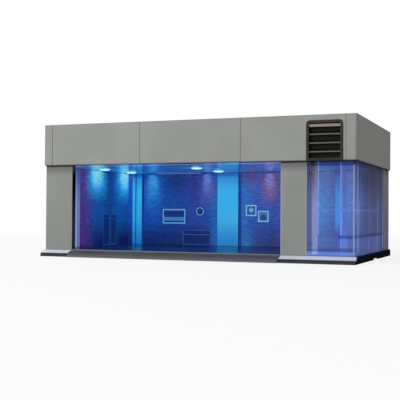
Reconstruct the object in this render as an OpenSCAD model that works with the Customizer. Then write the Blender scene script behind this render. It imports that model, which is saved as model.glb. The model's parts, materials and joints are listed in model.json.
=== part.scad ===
// Toy garage: lit display garage for small die-cast cars.
// Millimetres. Front faces -Y, +Z is up, origin under the middle of the object on the table.

/* [Overall] */
// Width of the roof unit, side to side
body_w = 240; // [230:1:300]
// Depth of the roof unit, front to back
body_d = 138; // [134:1:180]
// Height from the table to the top of the parapet
total_h = 100; // [90:1:130]
// Height of the roof unit
roof_h = 31; // [30:1:40]

/* [Base] */
// Height of the base tray
base_h = 5; // [4.6:0.1:8]
// Thickness of the base tray's skirt
base_wall = 2; // [1.5:0.1:3]
// Thickness of the base tray's plate
base_plate = 2; // [1.6:0.1:2.4]
// Distance the base stands out in front of the roof
base_lip = 4.5; // [3:0.1:8]
// Distance the ramp stands out in front of the base
ramp_run = 3.5; // [2:0.1:10]
// Height of the ramp's front edge
ramp_toe = 0.6; // [0.4:0.1:1]
// Wall thickness of the hollow ramp
ramp_wall = 1.4; // [1:0.1:2]
// Thickness of the floor panel
floor_t = 0.6; // [0.4:0.1:1]
// Height of the table-level plinth in front of the kerbs
plinth_h = 1.6; // [1.2:0.1:2]
// Depth of the kerb seat's shadow groove
groove_d = 0.8; // [0.4:0.1:1.2]
// Height of the kerb seat above the table
kerb_seat = 2.4; // [2.2:0.1:2.8]
// Height of the kerb's front face
kerb_face = 0.5; // [0.3:0.1:0.8]
// Length of the finger notch under each side
notch_l = 21; // [12:1:30]
// Height of the finger notch
notch_h = 1; // [0.6:0.1:1.4]
// Place of the finger notch's middle, behind the garage's middle
notch_y = 9; // [-20:0.5:20]
// Thickness of the ribs under the base
rib_t = 1.6; // [1.2:0.1:2.4]
// Distance the ribs stay above the table
rib_lift = 0.6; // [0.4:0.1:1]

/* [Walls] */
// Thickness of the walls
wall_t = 2.4; // [2.2:0.1:2.8]
// Distance the walls stand back from the roof's faces
wall_inset = 1.2; // [0.8:0.1:1.6]
// Height of the tongue on top of the walls
tongue_h = 3; // [1.5:0.1:5]
// Width of the left front pier
left_pier_w = 23; // [18:0.5:30]
// Width of the right front pier
right_pier_w = 18.4; // [16:0.1:24]
// Depth of the piers' returns beside the opening
pier_d = 5; // [4:0.1:12]
// Depth of the right pier's return beside the window
fin_d = 31; // [20:0.5:36]
// Length of the rear corner wall along the side
corner_wall_l = 26; // [20:0.5:32]
// Width of the rear corner wall's return
corner_return = 10; // [6:0.1:14]
// Length of the tabs under the walls
tab_l = 12; // [8:0.5:16]
// Thickness of the tabs
tab_t = 1.4; // [1:0.1:1.8]
// Radius of the screw bosses in the piers
boss_r = 3; // [2.6:0.1:3.4]
// Height of the screw bosses in the piers
boss_h = 12; // [11:0.5:20]

/* [Corner window] */
// Width of the corner window on the front
window_w = 32.8; // [30:0.1:40]
// Thickness of the clear panes
pane_t = 2; // [1.8:0.1:2.4]
// Depth of the flange beside the right pier
flange_d = 14; // [10:0.5:18]
// Width of the corner post inside the window
post_w = 3.4; // [2.6:0.1:5]
// Width of the mullions
mullion_w = 0.9; // [0.8:0.1:2]
// Distance the mullions stand in from the panes
mullion_d = 0.7; // [0.4:0.1:1]
// Distance from the front face to the first side mullion
side_mullion = 24; // [18:0.5:28]
// Distance from the last side mullion to the rear corner wall
side_end = 13; // [8:0.5:20]
// Distance from the pier to the door's first mullion
door_start = 7.4; // [5:0.1:10]
// Width of the glazed door on the front
door_w = 15.5; // [12:0.1:17]
// Height of the transom above the base
transom_z = 31; // [20:0.5:40]
// Height of the lower rail above the base
rail_z = 13; // [8:0.5:16]
// Radius of the pegs that stake the window to the walls
peg_r = 1.2; // [1:0.1:1.5]
// Distance of the pegs from the window's foot and head
peg_end = 8; // [6:0.5:12]

/* [Backdrop] */
// Thickness of the printed cards
card_t = 0.8; // [0.5:0.1:1.2]
// Distance from the wall's front to the left card's front edge
card_front = 9; // [6:0.5:30]
// Width of the middle pilaster
pilaster_w = 19.6; // [14:0.1:22]
// Depth of a pilaster
pilaster_d = 4; // [3:0.1:6]
// Width of the left and right pilasters
corner_pilaster_w = 9.8; // [8:0.1:14]
// Distance of the left pilaster from the left card
corner_pilaster_gap = 6; // [0:0.1:10]
// Width of the narrow strip beside a flute
fillet_w = 3.1; // [2:0.1:4]
// Width of the left and right pilasters' flutes
flute_w = 2.2; // [1:0.1:2.4]
// Depth of the flutes
flute_d = 2; // [1:0.1:2.5]
// Chamfer on the pilasters' front edges
arris = 0.4; // [0.2:0.1:0.8]
// Distance of the middle pilaster's centre from the left card
pilaster_left_gap = 98; // [80:0.1:120]
// Distance of the right pilaster's centre from the right wall's inner face
pilaster_right_gap = 35.2; // [24:0.1:44]

/* [Roof] */
// Thickness of the fascia
roof_wall = 2; // [1.8:0.1:2.4]
// Radius of the roof's upright edges
roof_r = 1; // [0.6:0.1:1.6]
// Thickness of the deck
deck_t = 1.8; // [1.6:0.1:2.2]
// Height of the parapet above the deck
parapet_h = 1.2; // [1:0.1:2]
// Width of the fascia's panel seams
seam_w = 0.5; // [0.3:0.1:0.8]
// Depth of the fascia's panel seams
seam_d = 0.4; // [0.2:0.1:0.6]
// Distance of the outer seams from the roof's sides
seam_edge = 7.2; // [4:0.1:12]
// Width of the fascia's middle panel
middle_panel_w = 77.8; // [60:0.1:90]
// Thickness of the ceiling panel
ceiling_t = 2; // [1.8:0.1:2.6]
// Distance of the ceiling screws from the ceiling's edges
ceiling_screw_edge = 9; // [7:0.5:10]

/* [Louvre] */
// Width of the louvre vent
louvre_w = 25; // [21:0.5:30]
// Height of the louvre vent
louvre_h = 27.1; // [24:0.1:27.3]
// Distance from the louvre to the roof's right side
louvre_side = 9.2; // [8:0.1:14]
// Radius of the louvre's upper corners
louvre_r = 2.4; // [1:0.1:4]
// Width of the louvre's rim
louvre_rim = 1.7; // [1.2:0.1:2.4]
// Distance the rim stands proud of the fascia
louvre_proud = 0.4; // [0.2:0.1:0.8]
// Width of the louvre's rear flange
louvre_flange = 1.2; // [0.8:0.1:1.4]
// Thickness of the louvre's closed back
louvre_back = 0.8; // [0.6:0.1:1.2]
// Number of slats
slat_count = 4; // [3:1:5]
// Height of the first slat above the louvre's foot
slat_first = 6; // [4:0.1:7]
// Distance between slats
slat_pitch = 5.9; // [4:0.1:6.1]
// Height of a slat's front lip
slat_lip = 0.9; // [0.7:0.1:1.6]
// Height of the top slat's front lip
top_lip = 1.9; // [0.8:0.1:2.2]
// Thickness of a slat's blade
slat_t = 0.9; // [0.7:0.1:1.1]
// Rise of a slat from its lip to its back edge
slat_rise = 2.4; // [1:0.1:2.6]

/* [Lamps] */
// Diameter of a lamp lens
lamp_d = 9.4; // [9:0.1:14]
// Distance a lens hangs below the ceiling
lamp_drop = 1; // [0.8:0.1:3]
// Diameter of the lens's neck
neck_d = 7.6; // [7.4:0.1:8.4]
// Height of the neck above the ceiling
neck_rise = 2.5; // [1:0.1:3]
// Distance of the first lamp column from the roof's left side
lamp_left = 19; // [16:0.5:30]
// Distance of the last lamp column from the right pier's fin
lamp_right = 20.6; // [10:0.1:26]
// Distance of the front lamp row from the roof's front
lamp_y = 61.5; // [54:0.5:66]
// Distance of the rear lamp row from the roof's rear
lamp_rear = 27.5; // [22:0.5:32]
// Diameter of a light diode
led_d = 5; // [4.6:0.1:5.2]

/* [Electronics] */
// Thickness of the circuit board
board_t = 1.6; // [1:0.1:2]
// Height of the posts that carry the board
post_h = 7; // [6.6:0.1:8]
// Radius of the board posts
post_r = 2.5; // [2:0.1:3]
// Radius of the pins on the board posts
pin_r = 1; // [0.8:0.1:1.2]
// Distance from the outer lamps to the board's edges
board_edge = 6; // [4.5:0.5:8]
// Width of the infra-red receiver
eye_w = 6; // [5:0.1:8]
// Depth of the infra-red receiver
eye_d = 4.5; // [3.5:0.1:6]
// Height of the infra-red receiver
eye_h = 7.2; // [5:0.1:9]
// Radius of the receiver's dome
eye_r = 2.1; // [1.5:0.1:2.2]
// Width of the control chip
chip_w = 10; // [6:0.5:14]
// Depth of the control chip
chip_d = 8; // [5:0.5:10]
// Height of the control chip
chip_h = 1.8; // [1:0.1:2.5]
// Diameter of the capacitor
capacitor_d = 6; // [4:0.1:8]
// Height of the capacitor
capacitor_h = 9; // [6:0.1:12]
// Thickness of the leads
lead_t = 1; // [0.6:0.1:1.4]
// Width of a lead
lead_w = 2.4; // [1.6:0.1:3]
// Distance the battery leads run forward of the tray
lead_run = 8; // [5:0.5:12]

/* [Batteries] */
// Diameter of a cell
cell_d = 14.5; // [10.5:0.1:14.5]
// Length of a cell with its button
cell_l = 50.5; // [44.5:0.1:52]
// Number of cells side by side
cell_count = 3; // [2:1:3]
// Length of the button on a cell
button_l = 1.5; // [1:0.1:2]
// Diameter of the button on a cell
button_d = 5.5; // [4:0.1:6]
// Room for a contact at each end of a cell
contact_room = 2.5; // [2:0.1:3.5]
// Thickness of the contact strip
contact_t = 0.4; // [0.3:0.1:0.5]
// Width of a contact strip
strip_w = 10; // [8:0.1:10]
// Height of a contact strip
strip_h = 12; // [9:0.1:13]
// Width of a contact's bowed leaf
leaf_w = 7; // [4:0.1:8]
// Height of a contact's bowed leaf
leaf_h = 9; // [6:0.1:10]
// Height of the leaf's flat crown
crown_h = 2.4; // [1.6:0.1:3]
// Wall thickness of the battery tray
tray_wall = 1.5; // [1.2:0.1:2]
// Width of the ledge that carries the battery door
ledge_w = 2; // [1.8:0.1:3]
// Thickness of that ledge
ledge_t = 1.6; // [1.2:0.1:2]
// Length of the door's screw strip
screw_strip = 8; // [7:0.5:10]
// Distance from the battery door to the roof's rear wall
door_rear = 4; // [3:0.1:6]

/* [Power switch] */
// Place of the switch to the right of the garage's middle
switch_x = 62; // [50:0.5:70]
// Distance of the switch from the roof's rear face
switch_rear = 18; // [14:0.5:24]
// Travel of the knob
switch_travel = 4; // [2:0.1:4.5]
// Width of the knob's stem
stem_w = 2.6; // [2:0.1:3]
// Width of the knob's cap
cap_w = 5; // [4:0.1:6]
// Height of the knob's cap
cap_h = 1.2; // [0.8:0.1:1.3]
// Width of the grip grooves across the cap
grip_w = 0.5; // [0.3:0.1:0.6]
// Depth of the grip grooves
grip_d = 0.4; // [0.2:0.1:0.5]
// Depth of the dish round the knob
dish_d = 0.6; // [0.3:0.1:0.8]
// Width of the switch
switch_w = 13; // [12:0.1:16]
// Depth of the switch
switch_d = 6.4; // [5.6:0.1:8]
// Height of the switch below the deck
switch_h = 5.5; // [4.6:0.1:7]

/* [Screws] */
// Radius of the screws' shanks
screw_r = 1.15; // [1:0.05:1.2]
// Radius of the screws' heads
head_r = 2.4; // [2.2:0.1:2.6]
// Height of the screws' heads
head_h = 1.2; // [1:0.1:1.3]
// Grip of a screw in its boss
grip_l = 7; // [5:0.5:9]

/* [Fits] */
// Gap between pieces that lift apart
lift_gap = 0.25; // [0.2:0.05:0.35]
// Gap between pieces that are fixed together
seat_gap = 0.15; // [0.1:0.05:0.2]
// Gap round a screw's shank
screw_gap = 0.1; // [0.05:0.05:0.15]

/* [Hidden] */
$fn = 48;
corner_steps = 6;
over = 1;

total_d = body_d + base_lip + ramp_run;
x_roof = body_w / 2;
y_back = total_d / 2;
y_roof = y_back - body_d;
y_base = y_roof - base_lip;
y_ramp = y_base - ramp_run;
z_roof = total_h - roof_h;

x_wall = x_roof - wall_inset;
y_wall = y_roof + wall_inset;
y_rear = y_back - wall_inset;
x_open_left = -x_wall + left_pier_w;
x_window = x_wall - window_w;
x_open_right = x_window - right_pier_w;
y_corner = y_back - corner_wall_l - wall_inset;
z_floor = base_h + floor_t;
wall_h = z_roof - base_h;

// The tongue sits inside the fascia, so its outer face follows the fascia's inner one.
x_tongue = x_roof - roof_wall - lift_gap;
y_tongue_front = y_roof + roof_wall + lift_gap;
y_tongue_rear = y_back - roof_wall - lift_gap;
z_tongue = [z_roof - over, z_roof + tongue_h];
x_ceiling = x_wall - wall_t - lift_gap;
y_ceiling_front = y_wall + wall_t + lift_gap;
y_ceiling_rear = y_rear - wall_t - lift_gap;
z_ceiling = z_roof + ceiling_t;

x_card = x_wall - wall_t;
y_card = y_rear - wall_t;
card_top = z_roof - lift_gap;
x_corner_pilaster = -x_card + card_t + corner_pilaster_gap + corner_pilaster_w / 2;
x_middle_pilaster = -x_card + card_t + pilaster_left_gap;
x_right_pilaster = x_wall - wall_t - pilaster_right_gap;

z_deck = total_h - parapet_h - deck_t;
z_top = z_deck + deck_t;
x_louvre = x_roof - louvre_side - louvre_w / 2;
louvre_field_h = louvre_h - 2 * louvre_rim;
louvre_d = wall_inset + wall_t;

lamp_columns = 3;
lamp_x = -x_roof + lamp_left;
lamp_pitch = (x_window - wall_t - lamp_right - lamp_x) / (lamp_columns - 1);
lamp_count = 2 * lamp_columns;
y_lamp = y_roof + lamp_y;
lamp_rows = y_back - lamp_rear - y_lamp;
led_r = led_d / 2;
z_board = z_ceiling + post_h;
x_board = [lamp_x - board_edge, x_louvre + eye_w];
y_board = [y_lamp - board_edge, y_lamp + lamp_rows + board_edge];
post_xs = [lamp_x + lamp_pitch / 2, lamp_x + lamp_pitch * 3 / 2];

cell_pitch = cell_d + 4 * seat_gap;
tray_x = cell_l / 2 + contact_room;
y_door_rear = y_back - roof_wall - door_rear;
y_tray_rear = y_door_rear - ledge_w;
y_tray_front = y_tray_rear - cell_count * cell_pitch - 2 * seat_gap;
y_door_front = y_tray_front - ledge_w - screw_strip;
x_door = tray_x + ledge_w;
y_door_screw = y_door_front + screw_strip / 2;
z_ledge = z_deck - ledge_t;
z_cell = z_deck - lift_gap - cell_d / 2;
z_tray = z_cell - cell_d / 2 - seat_gap;
y_switch = y_back - switch_rear;
slot_l = stem_w + switch_travel + 2 * lift_gap;

x_left_boss = -x_wall + left_pier_w / 2;
x_right_boss = x_open_right + right_pier_w / 2;
y_boss = y_wall + wall_t + boss_r - 2 * seat_gap;
x_ceiling_screw = x_ceiling - ceiling_screw_edge;
y_ceiling_screws = [y_ceiling_front + ceiling_screw_edge, y_ceiling_rear - ceiling_screw_edge];
ceiling_screw_places = [
    for (x = [-x_ceiling_screw, x_ceiling_screw], y = y_ceiling_screws) [x, y],
    for (x = post_xs) [x, y_ceiling_screws[0]],
    for (s = [-1, 1]) [s * (x_door + ledge_w + 2 * boss_r), y_ceiling_screws[1]]
];
pier_screw_places = [[x_left_boss, y_boss], [x_right_boss, y_boss]];
z_pier_head = base_h - base_plate - head_h;

left_tabs = [for (s = [0.25, 0.55, 0.85]) y_wall + s * (y_rear - y_wall)];
rear_tabs = [for (s = [-0.66, 0, 0.66]) s * x_wall];
side_tabs = [for (s = [0.3, 0.8]) y_wall + s * (y_corner - y_wall)];
y_corner_tab = (y_corner + y_rear) / 2;
x_window_tab = (x_window + x_wall) / 2;
peg_zs = [base_h + peg_end, z_roof - peg_end];
x_corner_peg = x_wall - corner_return / 2 - wall_t / 2;

wall_grey = "#969893";
base_black = "#26272b";
card_blue = "#2450a8";
trim_blue = "#6fb6d8";
steel = "#b9bcc0";

// A box between two corners, given as a range along each axis
module bar(x, y, z) {
    translate([x[0], y[0], z[0]])
        cube([x[1] - x[0], y[1] - y[0], z[1] - z[0]]);
}

// A box of a given size standing on a point
module stand(place, size) {
    translate([place[0] - size[0] / 2, place[1] - size[1] / 2, place[2]])
        cube(size);
}

// An outline in Y and Z, pulled along X
module along_x(x, outline) {
    translate([x[0], 0, 0])
        rotate([90, 0, 90])
            linear_extrude(x[1] - x[0])
                polygon(outline);
}

// Corner points of a rectangle with round corners
function round_rect(x, y, r) = [
    for (c = [[x[1], y[1], 0], [x[0], y[1], 90], [x[0], y[0], 180], [x[1], y[0], 270]],
         i = [0 : corner_steps])
        let (a = c[2] + 90 * i / corner_steps,
             px = c[0] == x[1] ? x[1] - r : x[0] + r,
             py = c[1] == y[1] ? y[1] - r : y[0] + r)
        [px + r * cos(a), py + r * sin(a)]
];

// A tab under a wall along Y, or the slot for it when grown
module tab_y(x, y, grow = 0) {
    bar([x - tab_t / 2 - grow, x + tab_t / 2 + grow],
        [y - tab_l / 2 - grow, y + tab_l / 2 + grow],
        [base_h - base_plate - grow, base_h + grow]);
}

module tab_x(x, y, grow = 0) {
    bar([x - tab_l / 2 - grow, x + tab_l / 2 + grow],
        [y - tab_t / 2 - grow, y + tab_t / 2 + grow],
        [base_h - base_plate - grow, base_h + grow]);
}

module left_wall_tabs(grow = 0) {
    for (y = left_tabs) tab_y(-x_wall + wall_t / 2, y, grow);
}

module rear_wall_tabs(grow = 0) {
    for (x = rear_tabs) tab_x(x, y_rear - wall_t / 2, grow);
}

module corner_wall_tabs(grow = 0) {
    tab_y(x_wall - wall_t / 2, y_corner_tab, grow);
}

module window_tabs(grow = 0) {
    for (y = side_tabs) tab_y(x_wall - pane_t / 2, y, grow);
    tab_x(x_window_tab, y_wall + pane_t / 2, grow);
}

module base_tray() {
    inner_x = x_roof - base_wall;
    inner_y = [y_wall + base_wall, y_back - base_wall];
    pocket_h = base_h - base_plate;
    color(base_black) difference() {
        union() {
            difference() {
                bar([-x_roof, x_roof], [y_base, y_back], [0, base_h]);
                bar([-inner_x, inner_x], inner_y, [-over, pocket_h]);
                bar([x_open_left, x_open_right], [y_base - over, y_wall], [-over, base_h + over]);
                for (x = [[-x_roof - over, x_open_left], [x_open_right, x_roof + over]]) {
                    bar(x, [y_base - over, y_wall], [kerb_seat, base_h + over]);
                    bar(x, [y_base - over, y_base + groove_d], [plinth_h, base_h]);
                }
            }
            for (x = [-x_roof / 2, 0, x_roof / 2])
                bar([x - rib_t / 2, x + rib_t / 2], inner_y, [rib_lift, pocket_h]);
            for (s = [1, 2])
                let (y = inner_y[0] + s * (inner_y[1] - inner_y[0]) / 3)
                bar([-inner_x, inner_x], [y - rib_t / 2, y + rib_t / 2], [rib_lift, pocket_h]);
            for (p = pier_screw_places)
                translate([p[0], p[1], z_pier_head])
                    cylinder(r = boss_r + rib_t, h = pocket_h - z_pier_head);
        }
        for (s = [-1, 1])
            bar([s * x_roof - base_wall - over, s * x_roof + base_wall + over],
                [notch_y - notch_l / 2, notch_y + notch_l / 2], [-over, notch_h]);
        for (p = pier_screw_places)
            translate([p[0], p[1], -over]) cylinder(r = screw_r + screw_gap, h = base_h + 2 * over);
        left_wall_tabs(seat_gap);
        rear_wall_tabs(seat_gap);
        corner_wall_tabs(seat_gap);
        window_tabs(seat_gap);
    }
}

module entry_ramp() {
    x = [x_open_left + seat_gap, x_open_right - seat_gap];
    y_heel = y_wall - seat_gap;
    slope = (z_floor - ramp_toe) / (y_heel - y_ramp);
    y_hollow = y_ramp + (ramp_wall + ramp_toe) / slope;
    color("#5c5d60") difference() {
        along_x(x, [[y_ramp, 0], [y_heel, 0], [y_heel, z_floor], [y_ramp, ramp_toe]]);
        along_x([x[0] + ramp_wall, x[1] - ramp_wall], [
            [y_hollow, -over],
            [y_heel - ramp_wall, -over],
            [y_heel - ramp_wall, z_floor - ramp_wall - slope * ramp_wall],
            [y_hollow, ramp_toe + slope * (y_hollow - y_ramp) - ramp_wall]
        ]);
    }
}

module kerb(x) {
    color("#c9c9d8")
        along_x(x, [
            [y_base, kerb_seat],
            [y_wall - seat_gap, kerb_seat],
            [y_wall - seat_gap, base_h],
            [y_base, kerb_seat + kerb_face]
        ]);
}

module kerb_left() {
    kerb([-x_roof, x_open_left - seat_gap]);
}

module kerb_right() {
    kerb([x_open_right + seat_gap, x_roof]);
}

module floor_panel() {
    color("#22305c") difference() {
        bar([-x_card + card_t + seat_gap, x_wall - pane_t - mullion_d - seat_gap],
            [y_wall, y_card - card_t - seat_gap], [base_h, z_floor]);
        bar([-x_roof, x_open_left + seat_gap], [y_base, y_wall + card_front + seat_gap], [0, total_h]);
        bar([x_open_right - seat_gap, x_roof], [y_base, y_wall + pier_d + seat_gap], [0, total_h]);
        bar([x_window - wall_t - seat_gap, x_window + pane_t + seat_gap],
            [y_base, y_wall + fin_d + seat_gap], [0, total_h]);
        bar([x_wall - corner_return - seat_gap, x_roof],
            [y_corner - pane_t - seat_gap, y_back], [0, total_h]);
        for (p = pier_screw_places)
            translate([p[0], p[1], 0]) cylinder(r = boss_r + seat_gap, h = total_h);
    }
}

// Screw boss on the foot of a pier
module pier_boss(x) {
    translate([x, y_boss, base_h]) cylinder(r = boss_r, h = boss_h);
}

module pier_hole(x) {
    translate([x, y_boss, base_h - over]) cylinder(r = screw_r + screw_gap, h = grip_l + 2 * over);
}

module left_wall() {
    color(wall_grey) difference() {
        union() {
            bar([-x_wall, -x_wall + wall_t], [y_wall, y_card], [base_h, z_roof]);
            bar([-x_wall, x_open_left], [y_wall, y_wall + wall_t], [base_h, z_roof]);
            bar([x_open_left - wall_t, x_open_left], [y_wall, y_wall + pier_d], [base_h, z_roof]);
            bar([-x_tongue, -x_wall + wall_t], [y_tongue_front, y_card], z_tongue);
            bar([-x_tongue, x_open_left], [y_tongue_front, y_wall + wall_t], z_tongue);
            pier_boss(x_left_boss);
            left_wall_tabs();
        }
        pier_hole(x_left_boss);
    }
}

module rear_wall() {
    color(wall_grey) union() {
        bar([-x_wall, x_wall], [y_card, y_rear], [base_h, z_roof]);
        bar([-x_tongue, x_tongue], [y_card, y_tongue_rear], z_tongue);
        rear_wall_tabs();
    }
}

// Room under the louvre, cut out of the tongues that stand below it
module louvre_room() {
    half = louvre_w / 2 + lift_gap;
    bar([x_louvre - half, x_louvre + half], [y_roof, y_roof + louvre_d + over], [z_roof, total_h]);
}

module right_pier() {
    color(wall_grey) difference() {
        union() {
            bar([x_open_right, x_window], [y_wall, y_wall + wall_t], [base_h, z_roof]);
            bar([x_open_right, x_open_right + wall_t], [y_wall, y_wall + pier_d], [base_h, z_roof]);
            bar([x_window - wall_t, x_window], [y_wall, y_wall + fin_d], [base_h, z_roof]);
            bar([x_open_right, x_window], [y_tongue_front, y_wall + wall_t], z_tongue);
            pier_boss(x_right_boss);
        }
        pier_hole(x_right_boss);
        louvre_room();
        for (z = peg_zs)
            translate([x_window - wall_t - over, y_wall + flange_d / 2 + pane_t / 2, z])
                rotate([0, 90, 0]) cylinder(r = peg_r + screw_gap, h = wall_t + 2 * over);
    }
}

module rear_corner_wall() {
    color(wall_grey) difference() {
        union() {
            bar([x_wall - wall_t, x_wall], [y_corner, y_card], [base_h, z_roof]);
            bar([x_wall - corner_return, x_wall], [y_corner, y_corner + wall_t], [base_h, z_roof]);
            bar([x_wall - wall_t, x_tongue], [y_corner, y_card], z_tongue);
            corner_wall_tabs();
        }
        for (z = peg_zs)
            translate([x_corner_peg, y_corner + wall_t + over, z])
                rotate([90, 0, 0]) cylinder(r = peg_r + screw_gap, h = wall_t + 2 * over);
    }
}

module corner_window() {
    x_front = [x_window, x_wall];
    y_side = [y_wall, y_corner];
    x_in = x_wall - pane_t;
    y_in = y_wall + pane_t;
    z_bars = [base_h + rail_z, base_h + transom_z];
    x_bars = [for (d = [door_start, door_start + door_w]) x_window + d];
    side_bars = 3;
    side_pitch = (y_corner - side_end - y_wall - side_mullion) / (side_bars - 1);
    y_bars = [for (i = [0 : side_bars - 1]) y_wall + side_mullion + i * side_pitch];
    color("#8fa2d8", 0.5) union() {
        bar(x_front, [y_wall, y_in], [base_h, z_roof]);
        bar([x_in, x_wall], y_side, [base_h, z_roof]);
        bar([x_wall - post_w, x_wall], [y_wall, y_wall + post_w], [base_h, z_roof]);
        bar([x_window, x_window + pane_t], [y_wall, y_wall + flange_d], [base_h, z_roof]);
        bar([x_wall - corner_return, x_wall], [y_corner - pane_t, y_corner], [base_h, z_roof]);
        difference() {
            union() {
                bar([x_window, x_tongue], [y_tongue_front, y_in], z_tongue);
                bar([x_in, x_tongue], [y_tongue_front, y_corner], z_tongue);
            }
            louvre_room();
        }
        window_tabs();
        for (x = x_bars)
            bar([x - mullion_w / 2, x + mullion_w / 2], [y_wall, y_in + mullion_d], [base_h, z_roof]);
        for (y = y_bars)
            bar([x_in - mullion_d, x_wall], [y - mullion_w / 2, y + mullion_w / 2], [base_h, z_roof]);
        for (z = z_bars) {
            bar([z == z_bars[0] ? x_bars[1] : x_window, x_wall], [y_wall, y_in + mullion_d],
                [z - mullion_w / 2, z + mullion_w / 2]);
            bar([x_in - mullion_d, x_wall], y_side, [z - mullion_w / 2, z + mullion_w / 2]);
        }
        for (z = peg_zs) {
            translate([x_window + over, y_wall + flange_d / 2 + pane_t / 2, z])
                rotate([0, -90, 0]) cylinder(r = peg_r, h = wall_t + over);
            translate([x_corner_peg, y_corner - over, z])
                rotate([-90, 0, 0]) cylinder(r = peg_r, h = wall_t + over);
        }
    }
}

module left_backdrop() {
    color(card_blue)
        bar([-x_card, -x_card + card_t], [y_wall + card_front, y_card - card_t], [base_h, card_top]);
}

module rear_backdrop() {
    color(card_blue)
        bar([-x_card, x_wall - wall_t], [y_card - card_t, y_card], [base_h, card_top]);
}

// Pilaster against the rear backdrop, centred on x, its front edges chamfered
module pilaster(x, w) {
    translate([x, y_card - card_t, z_floor])
        linear_extrude(card_top - z_floor)
            polygon([
                [-w / 2, 0], [-w / 2, arris - pilaster_d], [arris - w / 2, -pilaster_d],
                [w / 2 - arris, -pilaster_d], [w / 2, arris - pilaster_d], [w / 2, 0]
            ]);
}

// Narrow pilaster with one flute towards its outer side: -1 is the left side
module fluted_pilaster(x, side) {
    x_flute = x + side * (corner_pilaster_w / 2 - fillet_w - flute_w / 2);
    y = y_card - card_t - pilaster_d;
    color(trim_blue) difference() {
        pilaster(x, corner_pilaster_w);
        bar([x_flute - flute_w / 2, x_flute + flute_w / 2], [y - over, y + flute_d],
            [z_floor - over, card_top + over]);
    }
}

module pilaster_left() {
    fluted_pilaster(x_corner_pilaster, -1);
}

module pilaster_middle() {
    color(trim_blue) pilaster(x_middle_pilaster, pilaster_w);
}

module pilaster_right() {
    fluted_pilaster(x_right_pilaster, 1);
}

// Pan-head screw pointing up, its head's seat at the origin
module screw(length) {
    translate([0, 0, -head_h]) cylinder(r = head_r, h = head_h);
    cylinder(r = screw_r, h = length);
}

module base_screws() {
    color(steel)
        for (p = pier_screw_places)
            translate([p[0], p[1], z_pier_head]) screw(base_h - z_pier_head + grip_l);
}

// Outline of the louvre vent in X and Z, grown by a gap
module louvre_outline(grow) {
    w = louvre_w / 2 + grow;
    h = louvre_h + grow;
    r = louvre_r + grow;
    polygon(concat(
        [[-w, 0], [w, 0]],
        [for (s = [0, 1], i = [0 : corner_steps])
            let (a = 90 * (s + i / corner_steps))
            [(1 - 2 * s) * (w - r) + r * cos(a), h - r + r * sin(a)]]
    ));
}

// Pulls an outline in X and Z backwards from a front face
module from_front(y, depth) {
    translate([x_louvre, y + depth, z_roof])
        rotate([90, 0, 0])
            linear_extrude(depth)
                children();
}

module roof_shell() {
    inner_x = x_roof - roof_wall;
    inner_y = [y_roof + roof_wall, y_back - roof_wall];
    seam_xs = [for (s = [-1, 1], x = [x_roof - seam_edge, middle_panel_w / 2]) s * x];
    color(wall_grey) difference() {
        union() {
            difference() {
                translate([0, 0, z_roof]) linear_extrude(roof_h)
                    polygon(round_rect([-x_roof, x_roof], [y_roof, y_back], roof_r));
                bar([-inner_x, inner_x], inner_y, [z_roof - over, z_deck]);
                bar([-inner_x, inner_x], inner_y, [z_top, total_h + over]);
            }
            bar([-x_door - ledge_w, x_door + ledge_w], [y_door_front - ledge_w, y_door_rear + ledge_w],
                [z_ledge, z_deck + deck_t / 2]);
            translate([0, y_door_screw, z_ledge - grip_l]) cylinder(r = boss_r, h = grip_l + ledge_t);
            for (p = ceiling_screw_places)
                translate([p[0], p[1], z_ceiling])
                    cylinder(r = boss_r, h = z_deck + deck_t / 2 - z_ceiling);
        }
        bar([-x_door - lift_gap, x_door + lift_gap],
            [y_door_front - lift_gap, y_door_rear + lift_gap], [z_deck, total_h]);
        bar([-tray_x, tray_x], [y_tray_front, y_tray_rear], [z_ledge - over, z_deck + over]);
        translate([0, y_door_screw, z_ledge - grip_l + over])
            cylinder(r = screw_r + screw_gap, h = grip_l + 2 * ledge_t);
        for (p = ceiling_screw_places)
            translate([p[0], p[1], z_ceiling - over])
                cylinder(r = screw_r + screw_gap, h = grip_l + 2 * over);
        for (x = seam_xs, y = [y_roof, y_back])
            bar([x - seam_w / 2, x + seam_w / 2], [y - seam_d, y + seam_d],
                [z_roof - over, total_h + over]);
        from_front(y_roof - over, roof_wall + 2 * over)
            translate([0, -over]) union() {
                translate([0, over]) louvre_outline(seat_gap);
                translate([-louvre_w / 2 - seat_gap, 0]) square([louvre_w + 2 * seat_gap, 2 * over]);
            }
        translate([switch_x + switch_travel / 2, y_switch, 0]) {
            stand([0, 0, z_deck - over], [slot_l, stem_w + 2 * lift_gap, deck_t + 2 * over]);
            stand([0, 0, z_top - dish_d],
                [cap_w + switch_travel + 4 * lift_gap, cap_w + 4 * lift_gap, dish_d + over]);
        }
    }
}

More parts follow.
